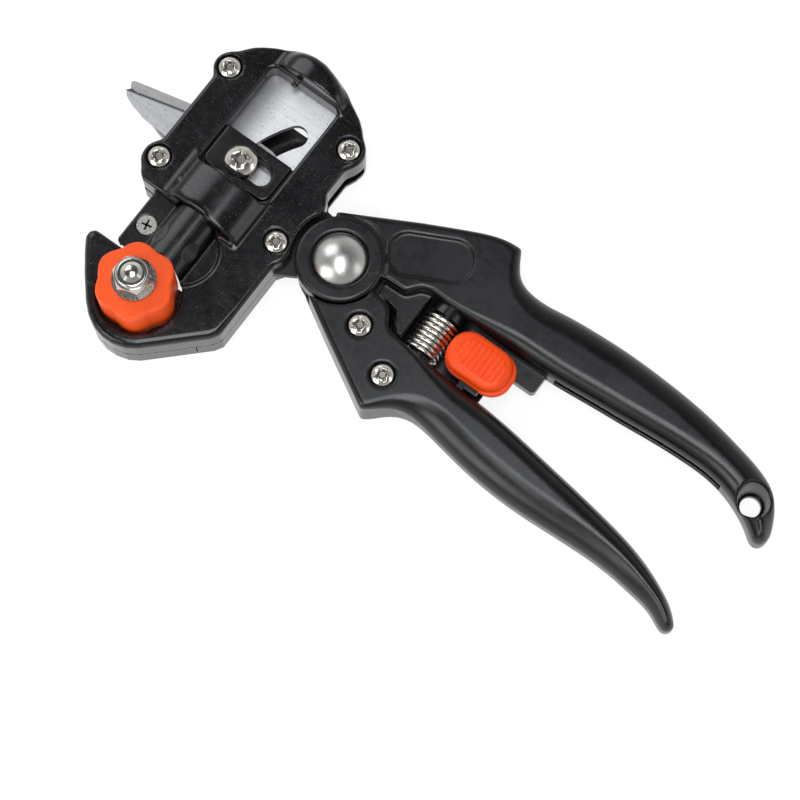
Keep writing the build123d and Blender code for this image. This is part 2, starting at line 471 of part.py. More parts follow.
# open channel along the inner side of the grip
chan = [(68.0, 6.0), (68.0, 10.6), (80.0, 11.6), (100.0, 13.4), (116.0, 13.8), (122.0, 12.4), (122.0, 6.0)]
upper = upper - prism(face(chan), 5.2, 9.8)
# lanyard hole with a wide dish on the front
LAN_X, LAN_Y, LAN_R = 131.9, 12.0, 2.65
upper = upper - rod(LAN_X, LAN_Y, LAN_R, -1, 30)
upper = upper - (Pos(LAN_X, LAN_Y, HANDLE_Z1 - 1.0) * Cone(LAN_R + 0.2, 5.0, 2.4))
upper = upper - (Pos(LAN_X, LAN_Y, HANDLE_Z0 + 0.9) * Cone(4.4, LAN_R + 0.2, 2.0))
# pocket for the root of the lock rail
upper = upper - block(40.45, 65.45, 1.0, 10.65, 4.55, 8.05)
# web over the steel lobe between the hub and the spring
WEB = [(11.0, -0.6), (13.6, -0.8), (16.2, -0.9), (20.9, -1.9), (22.6, -5.0), (24.4, -7.0), (26.3, -7.0), (26.4, 8.4), (20.0, 8.4), (11.0, 5.0)]
upper = upper + (prism(face(WEB), PLATE_Z1 + 0.05, 10.4) - rod(0, 0, HUB_R - 0.3, 0, 30))
# thin guard behind the spring, let into the back of the handle
GUARD_Z0, GUARD_Z1 = 0.3, 1.6
GUARD = [(14.2, -1.3), (17.4, -1.4), (20.2, -2.7), (21.9, -5.2), (23.5, -7.1), (25.8, -7.9), (38.0, -8.6), (52.2, -8.8),
         (53.6, -7.6), (53.6, 10.6), (24.0, 10.6), (19.0, 6.0), (14.2, 5.0)]
upper = upper - prism(offset(face(GUARD), 0.05), -1, GUARD_Z1 + 0.05)
spring_guard = one(prism(face(GUARD), GUARD_Z0, GUARD_Z1))
upper_handle = one(upper)

# ------------------------------------------------------------------
# Lower handle (turns with the lever plate)
# ------------------------------------------------------------------
L = [
    ("line", [(-4.6, -11.4), (13.4, -2.0), (17.4, -2.1)]),
    ("spline", [(17.4, -2.1), (19.8, -3.3), (21.2, -5.6), (23.0, -7.8), (25.6, -8.5)]),
    ("spline", [(25.6, -8.5), (38.0, -9.3), (54.5, -9.6), (62.0, -10.1), (70.0, -11.0), (80.0, -12.4), (90.0, -13.8),
                (100.0, -15.3), (110.0, -17.2), (120.0, -20.2), (125.0, -22.4), (130.0, -25.2), (132.8, -27.6),
                (134.2, -30.0), (132.6, -31.8), (130.2, -31.3), (126.0, -29.4), (120.0, -28.2), (110.0, -27.1),
                (100.0, -27.1), (90.0, -27.6), (80.0, -28.0), (70.0, -27.7), (60.0, -26.6), (50.0, -24.9),
                (46.0, -24.3), (42.0, -24.1), (38.5, -24.9), (34.5, -27.5), (31.6, -30.1), (30.0, -31.2)]),
    ("line", [(30.0, -31.2), (8.6, -19.2), (-4.6, -11.4)]),
]
lower2d = handle_wire(L)
lower = prism(lower2d, HANDLE_Z0, HANDLE_Z1)
sel = lower.edges().filter_by(lambda e: (abs(e.center().Z - HANDLE_Z1) < 0.01 or abs(e.center().Z - HANDLE_Z0) < 0.01)
                              and e.length > 100)
lower = rounded(lower, sel, [HANDLE_ROUND, 3.6, 3.0, 2.4, 1.8, 1.2])
sel = lower.edges().filter_by(lambda e: (abs(e.center().Z - HANDLE_Z1) < 0.01) and e.center().Y < -14 and e.center().X < 28 and e.length > 10)
lower = rounded(lower, sel, [1.5, 1.0, 0.6])
lower = lower - rod(0, 0, HUB_CUT_R, -1, 30)
# thin lip that overlaps the edge of the spring guard
LIP = [(15.0, -2.8), (15.0, -1.0), (18.4, -1.0), (21.0, -3.0), (22.8, -5.6), (24.8, -7.2), (27.2, -8.0), (27.2, -9.6),
       (22.4, -8.8), (20.4, -5.8), (18.8, -3.8)]
lower = lower + prism(face(LIP), 2.2, 3.8)
low_web = prism(lower2d, LOW_HUB_Z0, LOW_HUB_Z1) & rod(0, 0, HUB_CUT_R + 1.5, 0, 20)
lower = lower + low_web + rod(0, 0, LOW_HUB_R, LOW_HUB_Z0, LOW_HUB_Z1)
lower = lower - rod(0, 0, PIVOT_R + PIVOT_RUN, -1, 30) - rod(0, 0, 6.9, -1, 2.8)
arm2d = offset(face(ARM), 0.06)
lower = lower - prism(arm2d, LEVER_Z0 - 0.04, LEVER_Z1 + 0.04)
for hx, hy in HANDLE_SCREWS:
    lower = lower - rod(hx, hy, SCREW_R + FIT, -1, 30)
    lower = lower - rod(hx, hy, SCREW_RECESS_R, FACE_Z - 1.4, 30)
    lower = lower - hexagon(hx, hy, 6.3, -1, 3.05)
# notch that the lock tongue drops into, with an undercut towards the handle end
lower = lower - block(45.6, 53.6, -12.6, -8.0, 8.2, 10.6)
lower = lower - block(45.6, 57.0, -12.6, -11.0, 8.2, 10.6)
# stub that centres the return spring
SPRING_X, SPRING_Z = 33.0, 7.6
stub = Pos(SPRING_X, -8.4, SPRING_Z) * Rot(90, 0, 0) * Cylinder(3.6, 5.0)
lower = lower + stub
lower_handle = one(lower)

handle_screws = Compound(children=[one(pan_screw(x, y, seat, 0.9, t)) for (x, y), t in zip(HANDLE_SCREWS, (30, 55))])
hn = []
for x, y in HANDLE_SCREWS:
    hn.append(one(hexagon(x, y, 6.0, 0.6, 3.0) - rod(x, y, SCREW_R + FIT, -1, 4)))
handle_nuts = Compound(children=hn)

# ------------------------------------------------------------------
# Main pivot
# ------------------------------------------------------------------
pv = dome(0, 0, PIVOT_HEAD_R, HANDLE_Z1 - 0.6, 3.2) + rod(0, 0, PIVOT_HEAD_R, HANDLE_Z1 - 1.18, HANDLE_Z1 - 0.6)
pv = pv + rod(0, 0, PIVOT_R, 0.9, HANDLE_Z1 - 1.1)
pivot_bolt = one(pv)
pn = rod(0, 0, 6.4, 0.3, 2.5)
pn = rounded(pn, pn.edges().filter_by_position(Axis.Z, 0.29, 0.31), [0.6])
pn = pn - rod(0, 0, PIVOT_R + FIT, -1, 5) - block(-7, 7, -0.7, 0.7, -1, 1.0)
pivot_nut = one(pn)
pivot_washer = one(rod(0, 0, 8.6, LEVER_Z1 + 0.04, PLATE_Z0 - 0.03) - rod(0, 0, PIVOT_R + FIT, 0, 20))

# ------------------------------------------------------------------
# Return spring and its seat
# ------------------------------------------------------------------
SPR_R, SPR_W = 4.95, 1.3
SPR_Y0, SPR_Y1 = -8.4 - 0.1, 4.6
turns = 7.5
pitch = (SPR_Y1 - SPR_Y0 - SPR_W - 0.5) / turns
helix = Helix(pitch=pitch, height=pitch * turns, radius=SPR_R)
prof = Plane(origin=helix @ 0, z_dir=helix % 0) * Circle(SPR_W / 2)
coil = sweep(prof, path=helix)
coil = Pos(SPRING_X, SPR_Y1 - SPR_W / 2 - 0.3, SPRING_Z) * Rot(90, 0, 0) * coil
return_spring = one(coil)
seat_s = Pos(SPRING_X, SPR_Y1 + 1.45, SPRING_Z) * Rot(90, 0, 0) * Cylinder(5.3, 2.7)
seat_s = seat_s + Pos(SPRING_X, SPR_Y1 - 1.4, SPRING_Z) * Rot(90, 0, 0) * Cylinder(3.7, 3.6)
spring_seat = one(seat_s)

# ------------------------------------------------------------------
# Lock: rail on the upper handle, sliding button with its tongue
# ------------------------------------------------------------------
rail = block(40.5, 65.4, 1.6, 10.6, 4.6, 8.0)
rail = rounded(rail, rail.edges().filter_by(Axis.Z).filter_by(lambda e: e.center().Y < 3), [1.4, 1.0])
rail = rail - block(45.9, 54.6, 3.3, 5.7, 0, 20) - rod(45.9, 4.5, 1.2, 0, 20) - rod(54.6, 4.5, 1.2, 0, 20)
rail = rail - block(60.0, 62.8, 4.2, 5.4, 6.8, 20)
lock_rail = one(rail)

BTN_X0, BTN_X1, BTN_Y0, BTN_Y1 = 38.9, 58.1, -7.0, 5.6
btn2d = Pos((BTN_X0 + BTN_X1) / 2, (BTN_Y0 + BTN_Y1) / 2) * RectangleRounded(BTN_X1 - BTN_X0, BTN_Y1 - BTN_Y0, 6.0)
btn = prism(btn2d, 9.7, 15.2)
btn = rounded(btn, btn.edges().filter_by_position(Axis.Z, 15.19, 15.21), [1.2, 0.9, 0.6])
for i in range(9):
    gx = BTN_X0 + 3.2 + i * 1.6
    btn = btn - block(gx - 0.3, gx + 0.3, BTN_Y0 + 1.9, BTN_Y1 - 1.9, 14.6, 16)
skirt2d = Pos((BTN_X0 + BTN_X1) / 2 + 0.6, (BTN_Y0 + BTN_Y1) / 2 - 0.1) * RectangleRounded(BTN_X1 - BTN_X0 + 1.4, BTN_Y1 - BTN_Y0 + 0.8, 6.3)
btn = btn + prism(skirt2d, 8.9 + 1.0, 11.6)
btn = btn - block(46.9, 53.1, -9, 3.0, 9.6, 10.55)
lock_button = one(btn)
tongue = block(47.0, 53.0, -8.4, 2.9, 8.6, 10.5)
tongue = tongue + block(47.0, 49.0, -12.1, -8.2, 8.6, 10.2)
tongue = tongue + block(47.0, 51.6, -12.1, -11.4, 8.6, 10.2)
lock_tongue = one(tongue)
rivet = rod(50.2 - 3.2, 4.5, 1.1, 4.2, 11.4) + rod(50.2 - 3.2, 4.5, 2.0, 3.4, 4.4)
lock_rivet = one(rivet)
lock_button = one(lock_button - rod(50.2 - 3.2, 4.5, 1.1 + FIT, 0, 11.45))

# ------------------------------------------------------------------
NODES = {
    "front_cover": front,
    "back_cover": back,
    "frame_plate": frame_plate,
    "cover_screws": cover_screws,
    "plate_screw": plate_screw,
    "cover_nuts": cover_nuts,
    "lever_plate": lever_plate,
    "drive_screw": drive_screw,
    "drive_bush": drive_bush,
    "drive_nut": drive_nut,
    "slider": slider,
    "omega_blade": omega_blade,
    "blade_clamp": blade_clamp,
    "blade_screws": blade_screws,
    "anvil_wheel": anvil_wheel,
    "anvil_bolt": anvil_bolt,
    "anvil_washer": anvil_washer,
    "anvil_nut": anvil_nut,
    "nut_ring": nut_ring,
    "upper_handle": upper_handle,
    "lower_handle": lower_handle,
    "handle_screws": handle_screws,
    "handle_nuts": handle_nuts,
    "pivot_bolt": pivot_bolt,
    "pivot_nut": pivot_nut,
    "pivot_washer": pivot_washer,
    "return_spring": return_spring,
    "spring_seat": spring_seat,
    "spring_guard": spring_guard,
    "lock_rail": lock_rail,
    "lock_button": lock_button,
    "lock_tongue": lock_tongue,
    "lock_rivet": lock_rivet,
}

boxes = [s.bounding_box() for s in NODES.values()]
x0 = min(b.min.X for b in boxes); x1 = max(b.max.X for b in boxes)
y0 = min(b.min.Y for b in boxes); y1 = max(b.max.Y for b in boxes)
z0 = min(b.min.Z for b in boxes); z1 = max(b.max.Z for b in boxes)
SHIFT = (round(-(x0 + x1) / 2, 2), round(-(y0 + y1) / 2, 2), round(-z0, 2))
for name, shape in NODES.items():
    export_step(Pos(*SHIFT) * shape, "parts/" + name + ".step")
print("pivot at", SHIFT, "size", x1 - x0, y1 - y0, z1 - z0)
for name, shape in NODES.items():
    n = len(shape.solids())
    b = shape.bounding_box()
    print(name, "solids", n, "vol %.1f" % shape.volume, "valid", shape.is_valid,
          "box %.1f %.1f %.1f" % (b.size.X, b.size.Y, b.size.Z))
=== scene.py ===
import math
import bpy, bmesh
import numpy as np
from mathutils import Vector, Matrix


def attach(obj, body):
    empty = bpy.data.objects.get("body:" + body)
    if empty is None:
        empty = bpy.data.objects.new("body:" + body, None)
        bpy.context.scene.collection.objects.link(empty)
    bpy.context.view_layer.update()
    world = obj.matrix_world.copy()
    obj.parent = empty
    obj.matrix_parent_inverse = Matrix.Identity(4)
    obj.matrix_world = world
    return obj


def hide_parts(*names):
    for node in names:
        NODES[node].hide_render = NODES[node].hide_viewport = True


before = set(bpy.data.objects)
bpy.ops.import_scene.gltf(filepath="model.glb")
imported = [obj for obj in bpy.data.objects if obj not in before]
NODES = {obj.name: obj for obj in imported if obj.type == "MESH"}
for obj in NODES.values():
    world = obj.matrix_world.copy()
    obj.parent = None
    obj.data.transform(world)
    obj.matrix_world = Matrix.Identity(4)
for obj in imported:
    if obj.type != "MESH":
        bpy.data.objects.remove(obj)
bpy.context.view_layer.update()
MM = 0.001

# ----------------------------------------------------------------------
# Camera at the photograph's viewing angle, floor and light
# ----------------------------------------------------------------------
AZ, EL, LENS, DIST = 36.3, 75.5, 112.5, 0.6944
TARGET = Vector((6.8, -14.6, 7.0)) * MM
az, el = math.radians(AZ), math.radians(EL)
back = Vector((math.sin(az) * math.cos(el), -math.cos(az) * math.cos(el), math.sin(el)))
cam_data = bpy.data.cameras.new("camera")
cam_data.sensor_width = 36.0
cam_data.lens = LENS
cam_data.clip_start, cam_data.clip_end = 0.01, 20.0
cam = bpy.data.objects.new("camera", cam_data)
bpy.context.scene.collection.objects.link(cam)
cam.location = TARGET + back * DIST
cam.rotation_mode = "QUATERNION"
cam.rotation_quaternion = (-back).to_track_quat("-Z", "Y")
bpy.context.scene.camera = cam

scene = bpy.context.scene
scene.view_settings.view_transform = "Standard"
scene.view_settings.look = "None"


# ----------------------------------------------------------------------
# Node helpers
# ----------------------------------------------------------------------
class Shade:
    """A material made of nodes, with short calls for the ones used here."""

    def __init__(self, name):
        self.m = bpy.data.materials.new(name)
        self.m.use_nodes = True
        self.t = self.m.node_tree
        self.t.nodes.clear()
        self.out = self.t.nodes.new("ShaderNodeOutputMaterial")
        self.b = self.t.nodes.new("ShaderNodeBsdfPrincipled")
        self.t.links.new(self.b.outputs[0], self.out.inputs["Surface"])
        self.co = self.t.nodes.new("ShaderNodeTexCoord")

    def new(self, kind, **props):
        n = self.t.nodes.new(kind)
        for k, v in props.items():
            setattr(n, k, v)
        return n

    def put(self, socket, value):
        if hasattr(value, "is_output") or isinstance(value, bpy.types.NodeSocket):
            self.t.links.new(value, socket)
        else:
            socket.default_value = value

    def at(self, scale=(1, 1, 1), rot=(0, 0, 0), move=(0, 0, 0)):
        n = self.new("ShaderNodeMapping")
        self.t.links.new(self.co.outputs["Object"], n.inputs["Vector"])
        n.inputs["Scale"].default_value = scale
        n.inputs["Rotation"].default_value = rot
        n.inputs["Location"].default_value = move
        return n.outputs[0]

    def noise(self, vec, scale, detail=3.0, rough=0.55, lac=2.0, distort=0.0):
        n = self.new("ShaderNodeTexNoise")
        self.t.links.new(vec, n.inputs["Vector"])
        n.inputs["Scale"].default_value = scale
        n.inputs["Detail"].default_value = detail
        n.inputs["Roughness"].default_value = rough
        n.inputs["Lacunarity"].default_value = lac
        n.inputs["Distortion"].default_value = distort
        return n.outputs["Fac"]

    def voronoi(self, vec, scale, feature="F1", rnd=1.0):
        n = self.new("ShaderNodeTexVoronoi", feature=feature)
        self.t.links.new(vec, n.inputs["Vector"])
        n.inputs["Scale"].default_value = scale
        n.inputs["Randomness"].default_value = rnd
        return n.outputs["Distance"]

    def span(self, fac, a, b, lo=0.0, hi=1.0):
        n = self.new("ShaderNodeMapRange")
        n.clamp = True
        self.put(n.inputs["Value"], fac)
        for k, v in (("From Min", a), ("From Max", b), ("To Min", lo), ("To Max", hi)):
            n.inputs[k].default_value = v
        return n.outputs[0]

    def mix(self, fac, a, b):
        n = self.new("ShaderNodeMix", data_type="RGBA")
        self.put(n.inputs["Factor"], fac)
        self.put(n.inputs["A"] if False else n.inputs[6], a)
        self.put(n.inputs[7], b)
        return n.outputs[2]

    def math(self, op, a, b=0.0, c=0.0):
        n = self.new("ShaderNodeMath", operation=op)
        self.put(n.inputs[0], a)
        self.put(n.inputs[1], b)
        self.put(n.inputs[2], c)
        return n.outputs[0]

    def bump(self, height, strength, dist, normal=None, invert=False):
        n = self.new("ShaderNodeBump", invert=invert)
        n.inputs["Strength"].default_value = strength
        n.inputs["Distance"].default_value = dist
        self.put(n.inputs["Height"], height)
        if normal is not None:
            self.t.links.new(normal, n.inputs["Normal"])
        return n.outputs[0]

    def end(self, color=None, rough=None, normal=None, **sockets):
        if color is not None:
            self.put(self.b.inputs["Base Color"], color)
        if rough is not None:
            self.put(self.b.inputs["Roughness"], rough)
        if normal is not None:
            self.t.links.new(normal, self.b.inputs["Normal"])
        for k, v in sockets.items():
            self.b.inputs[k.replace("_", " ")].default_value = v
        return self.m


def grey(v, a=1.0):
    return (v, v, v, a)


def plastic(name, base, spread, rough, grain_mm, grain_depth, speck=0.0, spec=0.5, speck_tone=0.06, wear=0.0):
    """Moulded plastic: fine grain, slow patches of gloss, a few light specks and hair scratches."""
    s = Shade(name)
    v = s.at()
    patch = s.noise(v, 60, 3, 0.6)
    mid = s.noise(v, 420, 4, 0.6)
    grain = s.noise(v, 1000.0 / grain_mm, 2.5, 0.6)
    col = s.mix(s.span(patch, 0.35, 0.65), (*[c * (1 - spread) for c in base], 1), (*[c * (1 + spread) for c in base], 1))
    if speck > 0:
        dots = s.span(s.noise(v, 2300, 1.0, 0.5), 0.70 - 0.06 * speck, 0.76, 0.0, 1.0)
        lines = s.span(s.noise(s.at(scale=(1, 14, 6), rot=(0, 0, 0.5)), 160, 2, 0.5), 0.695, 0.72, 0.0, 0.7)
        lines2 = s.span(s.noise(s.at(scale=(11, 1, 6), rot=(0, 0, -0.35)), 190, 2, 0.5), 0.70, 0.73, 0.0, 0.6)
        marks = s.math("MAXIMUM", dots, s.math("MAXIMUM", lines, lines2))
        col = s.mix(s.math("MULTIPLY", marks, 0.55 * speck), col, grey(speck_tone))
    r = s.span(mid, 0.3, 0.7, rough[0], rough[1])
    r = s.math("ADD", r, s.span(patch, 0.3, 0.7, -0.03, 0.05))
    n1 = s.bump(patch, 0.08, 0.0006)
    n2 = s.bump(grain, grain_depth, 0.00006, n1)
    return s.end(col, r, n2, Specular_IOR_Level=spec)


def brushed(name, base, rough, along="x", scale=1.0, strength=0.25, metallic=1.0, stain=0.12, aniso=0.0, masked=False, toothed=False):
    """Ground or rolled metal with fine lines along one axis."""
    s = Shade(name)
    k = {"x": (0.02, 1, 1), "y": (1, 0.02, 1), "z": (1, 1, 0.02)}[along]
    v = s.at(scale=k)
    fine = s.noise(v, 5200 * scale, 2, 0.7)
    wide = s.noise(v, 900 * scale, 3, 0.6)
    blot = s.noise(s.at(), 110, 4, 0.6)
    dark = (*[c * (1 - stain) for c in base], 1)
    light = (*[min(1, c * (1 + stain)) for c in base], 1)
    col = s.mix(s.span(wide, 0.3, 0.7), dark, light)
    col = s.mix(s.span(blot, 0.35, 0.75, 0, 0.35), col, dark)
    r = s.math("ADD", s.span(fine, 0.3, 0.7, rough[0], rough[1]), s.span(blot, 0.3, 0.7, -0.03, 0.05))
    n1 = s.bump(wide, strength * 0.5, 0.00002)
    n2 = s.bump(fine, strength, 0.00001, n1)
    s.b.inputs["Anisotropic"].default_value = aniso
    if masked:
        specks = s.span(s.noise(s.at(), 1500, 1.0, 0.5), 0.66, 0.70)
        col = s.mix(s.math("MULTIPLY", specks, 0.5), col, (0.12, 0.12, 0.12, 1))
        col, inner, x, y = plate_mask(s, col)
        s.t.links.new(s.math("SUBTRACT", 1.0, inner), s.b.inputs["Metallic"])
        if toothed:
            # distance below the toothed edge, in metres
            out = s.span(x, -0.0910, -0.0918)
            col = s.mix(s.math("MULTIPLY", out, 0.42), col, (0.05, 0.05, 0.05, 1))
            d = s.math("SUBTRACT", s.math("MULTIPLY", s.math("ADD", y, -0.0142), 0.970), s.math("MULTIPLY", s.math("ADD", x, 0.1070), 0.2425))
            near = s.math("MULTIPLY", s.span(d, -0.0011, -0.0006), s.span(x, -0.0918, -0.0922))
            col = s.mix(s.math("MULTIPLY", near, 0.85), col, (0.02, 0.02, 0.02, 1))
        return s.end(col, r, n2)
    return s.end(col, r, n2, Metallic=metallic)


def plated(name, base, rough, tint=None, pits=0.35, depth=0.06, shade_below_z=None):
    """Plated steel: soft cloudy gloss, tiny pits and faint turning lines; screw recesses can get painted shade."""
    s = Shade(name)
    v = s.at()
    blot = s.noise(v, 500, 4, 0.6)
    fine = s.noise(v, 3800, 2, 0.5)
    pit = s.span(s.noise(v, 1700, 2, 0.6), 0.66, 0.72)
    col = s.mix(s.span(blot, 0.3, 0.7), (*[c * 0.86 for c in base], 1), (*base, 1))
    if tint:
        col = s.mix(s.span(s.noise(v, 240, 2, 0.5), 0.4, 0.7, 0, 0.6), col, (*tint, 1))
    col = s.mix(s.math("MULTIPLY", pit, pits), col, (*[c * 0.35 for c in base], 1))
    r = s.math("ADD", s.span(fine, 0.3, 0.7, rough[0], rough[1]), s.math("MULTIPLY", pit, 0.25))
    if name == "nickel_screws":
        # painted shade: the cross recess of the round-headed screws is darkened in colour, and its roughness is raised
        recess_shade_fac = s.new("ShaderNodeAttribute", attribute_name="recess_shade").outputs["Fac"]
        col = s.mix(s.math("MULTIPLY", recess_shade_fac, 0.70), col, (0.05, 0.045, 0.04, 1))
        r = s.math("ADD", r, s.math("MULTIPLY", recess_shade_fac, 0.2))
    # painted shade: the colour goes dark below this height, which takes in the cross recess of the countersunk heads
    if shade_below_z is not None:
        xyz = s.new("ShaderNodeSeparateXYZ")
        s.t.links.new(s.co.outputs["Object"], xyz.inputs[0])
        col = s.mix(s.span(xyz.outputs["Z"], shade_below_z, shade_below_z - 0.00012), col, (0.04, 0.04, 0.04, 1))
    n = s.bump(blot, depth, 0.00008)
    n = s.bump(fine, depth * 1.5, 0.00001, n)
    return s.end(col, r, n, Metallic=1.0)


def orange(name, base, deep, rough, coat, sub):
    s = Shade(name)
    v = s.at()
    patch = s.noise(v, 130, 3, 0.6)
    grain = s.noise(v, 2600, 2, 0.6)
    scuff = s.span(s.noise(s.at(scale=(1, 9, 3), rot=(0, 0, 0.7)), 210, 3, 0.6), 0.66, 0.72)
    col = s.mix(s.span(patch, 0.3, 0.7), (*deep, 1), (*base, 1))
    col = s.mix(s.math("MULTIPLY", scuff, 0.30), col, (1.0, 0.38, 0.16, 1))
    r = s.math("ADD", s.span(patch, 0.3, 0.7, rough[0], rough[1]), s.math("MULTIPLY", scuff, 0.15))
    n = s.bump(patch, 0.06, 0.0004)
    n = s.bump(grain, 0.10, 0.00004, n)
    m = s.end(col, r, n, Coat_Weight=coat, Coat_Roughness=0.25, Specular_IOR_Level=0.28)
    s.b.inputs["Subsurface Weight"].default_value = sub
    s.b.inputs["Subsurface Radius"].default_value = (1.0, 0.25, 0.08)
    s.b.inputs["Subsurface Scale"].default_value = 0.002
    return m


M = {}
def plate_mask(s, col):
    """Plates are blackened where they run under the hub and into the grips, and get painted shade towards the window's
    left wall; the toothed edge is dark.
    """
    xyz = s.new("ShaderNodeSeparateXYZ")
    s.t.links.new(s.co.outputs["Object"], xyz.inputs[0])
    x, y = xyz.outputs["X"], xyz.outputs["Y"]
    inner = s.math("MAXIMUM", s.span(x, -0.0495, -0.0475), s.span(y, 0.0078, 0.0068))
    # painted shade from the window's left wall: the steel is darkest at the wall and clears to the right
    shade = s.span(x, -0.0800, -0.0705, 0.72, 0.0)
    window_wall_shade = s.math("MULTIPLY", shade, s.span(x, -0.0805, -0.0800))
    col = s.mix(window_wall_shade, col, (0.03, 0.03, 0.032, 1))
    return s.mix(inner, col, (0.006, 0.006, 0.007, 1)), inner, x, y


M["housing_black"] = plastic("housing_black", (0.0044, 0.0045, 0.0054), 0.22, (0.16, 0.23), 0.45, 0.06, 1.0, 0.5, 0.10)
M["handle_black"] = plastic("handle_black", (0.0038, 0.0042, 0.0054), 0.18, (0.235, 0.30), 0.32, 0.10, 0.45, 0.5, 0.05)
M["slider_black"] = plastic("slider_black", (0.0038, 0.0038, 0.0044), 0.18, (0.20, 0.28), 0.40, 0.12, 0.5, 0.5, 0.08)
M["orange_anvil"] = orange("orange_anvil", (1.0, 0.112, 0.012), (0.97, 0.088, 0.008), (0.36, 0.46), 0.0, 0.12)
M["orange_button"] = orange("orange_button", (1.0, 0.090, 0.007), (0.95, 0.066, 0.005), (0.32, 0.42), 0.0, 0.08)
M["plate_steel"] = brushed("plate_steel", (0.84, 0.84, 0.86), (0.40, 0.52), "x", 1.0, 0.34, stain=0.10, masked=True, toothed=True)
M["blade_steel"] = brushed("blade_steel", (0.43, 0.425, 0.425), (0.40, 0.50), "x", 1.2, 0.26, stain=0.10, masked=True)
M["cutter_steel"] = brushed("cutter_steel", (0.50, 0.51, 0.52), (0.24, 0.34), "y", 1.2, 0.2)
M["nickel_screws"] = plated("nickel_screws", (0.84, 0.80, 0.73), (0.12, 0.19), None, 0.15, 0.015)
M["countersunk_screws"] = plated("countersunk_screws", (0.74, 0.71, 0.66), (0.22, 0.30), None, 0.15, 0.015, 0.0126)
M["pivot_nickel"] = plated("pivot_nickel", (0.66, 0.65, 0.62), (0.27, 0.37), None, 0.15, 0.02)
M["zinc_steel"] = plated("zinc_steel", (0.58, 0.565, 0.54), (0.13, 0.20), (0.50, 0.47, 0.41), 0.15, 0.02)
M["spring_steel"] = plated("spring_steel", (0.80, 0.76, 0.70), (0.14, 0.22), None, 0.15, 0.03)
M["dark_steel"] = plated("dark_steel", (0.030, 0.030, 0.032), (0.30, 0.42), None, 0.3)
M["bronze_washer"] = plated("bronze_washer", (0.50, 0.30, 0.12), (0.26, 0.38), None, 0.3)
M["nylon_ring"] = plastic("nylon_ring", (0.055, 0.056, 0.060), 0.1, (0.36, 0.46), 0.4, 0.1, 0.0)

SLOT_OF = {
    "housing_black": ["front_cover", "back_cover"],
    "plate_steel": ["frame_plate"],
    "nickel_screws": ["cover_screws", "plate_screw", "handle_screws", "drive_screw"],
    "zinc_steel": ["cover_nuts", "anvil_bolt", "anvil_washer", "anvil_nut", "pivot_nut", "handle_nuts", "drive_nut"],
    "nylon_ring": ["nut_ring"],
    "handle_black": ["upper_handle", "lower_handle"],
    "pivot_nickel": ["pivot_bolt"],
    "bronze_washer": ["pivot_washer"],
    "spring_steel": ["return_spring"],
    "slider_black": ["spring_seat", "spring_guard", "lock_rail", "slider"],
    "blade_steel": ["lever_plate"],
    "dark_steel": ["drive_bush", "blade_clamp", "lock_tongue", "lock_rivet"],
    "cutter_steel": ["omega_blade"],
    "countersunk_screws": ["blade_screws"],
    "orange_anvil": ["anvil_wheel"],
    "orange_button": ["lock_button"],
}
SLOT_OF = {n: slot for slot, names in SLOT_OF.items() for n in names}


def smooth(o, deg=32.0):
    """Smooth shading with sharp edges kept above an angle."""
    me = o.data
    me.shade_smooth()
    me.set_sharp_from_angle(angle=math.radians(deg))


for name, o in NODES.items():
    mat = M[SLOT_OF[name]]
    o.data.materials.clear()
    o.data.materials.append(mat)
    smooth(o)


# ----------------------------------------------------------------------
# Moulded pieces: each is a distance field on a fine grid, meshed once.
# Design frame in millimetres: main pivot at x = y = 0; SHIFT takes it to the part's frame.
# ----------------------------------------------------------------------
SHIFT = (-29.6, 6.7, 0.0)


def curve(points, step=0.8):
    """Smooth cubic curve through the points, natural ends, as a dense list."""
    p = np.array(points, float)
    seg = np.linalg.norm(np.diff(p, axis=0), axis=1)
    t = np.concatenate([[0], np.cumsum(seg)])
    n = len(p)
    if n < 3:
        return [tuple(q) for q in p]
    h = np.diff(t)
    A = np.zeros((n, n))
    B = np.zeros((n, 2))
    A[0, 0] = A[-1, -1] = 1
    for i in range(1, n - 1):
        A[i, i - 1], A[i, i], A[i, i + 1] = h[i - 1], 2 * (h[i - 1] + h[i]), h[i]
        B[i] = 6 * ((p[i + 1] - p[i]) / h[i] - (p[i] - p[i - 1]) / h[i - 1])
    m = np.linalg.solve(A, B)
    out = []
    for i in range(n - 1):
        k = max(2, int(h[i] / step))
        for s in np.linspace(0, h[i], k, endpoint=False):
            a, b = (h[i] - s), s
            q = (m[i] * a ** 3 + m[i + 1] * b ** 3) / (6 * h[i]) + (p[i] / h[i] - m[i] * h[i] / 6) * a + (p[i + 1] / h[i] - m[i + 1] * h[i] / 6) * b
            out.append(tuple(q))
    out.append(tuple(p[-1]))
    return out


def poly(points, X, Y):
    """Signed distance to a closed polygon, negative inside."""
    p = np.array(points, float)
    d = np.full(np.broadcast(X, Y).shape, 1e9)
    inside = np.zeros(d.shape, bool)
    for (x0, y0), (x1, y1) in zip(p, np.roll(p, -1, axis=0)):
        ex, ey = x1 - x0, y1 - y0
        L = ex * ex + ey * ey
        if L < 1e-12:
            continue
        wx, wy = X - x0, Y - y0
        t = np.clip((wx * ex + wy * ey) / L, 0, 1)
        d = np.minimum(d, (wx - t * ex) ** 2 + (wy - t * ey) ** 2)
        c = (y0 <= Y) != (y1 <= Y)
        if ey != 0:
            inside ^= c & (X < x0 + (Y - y0) * ex / ey)
    d = np.sqrt(d)
    return np.where(inside, -d, d)


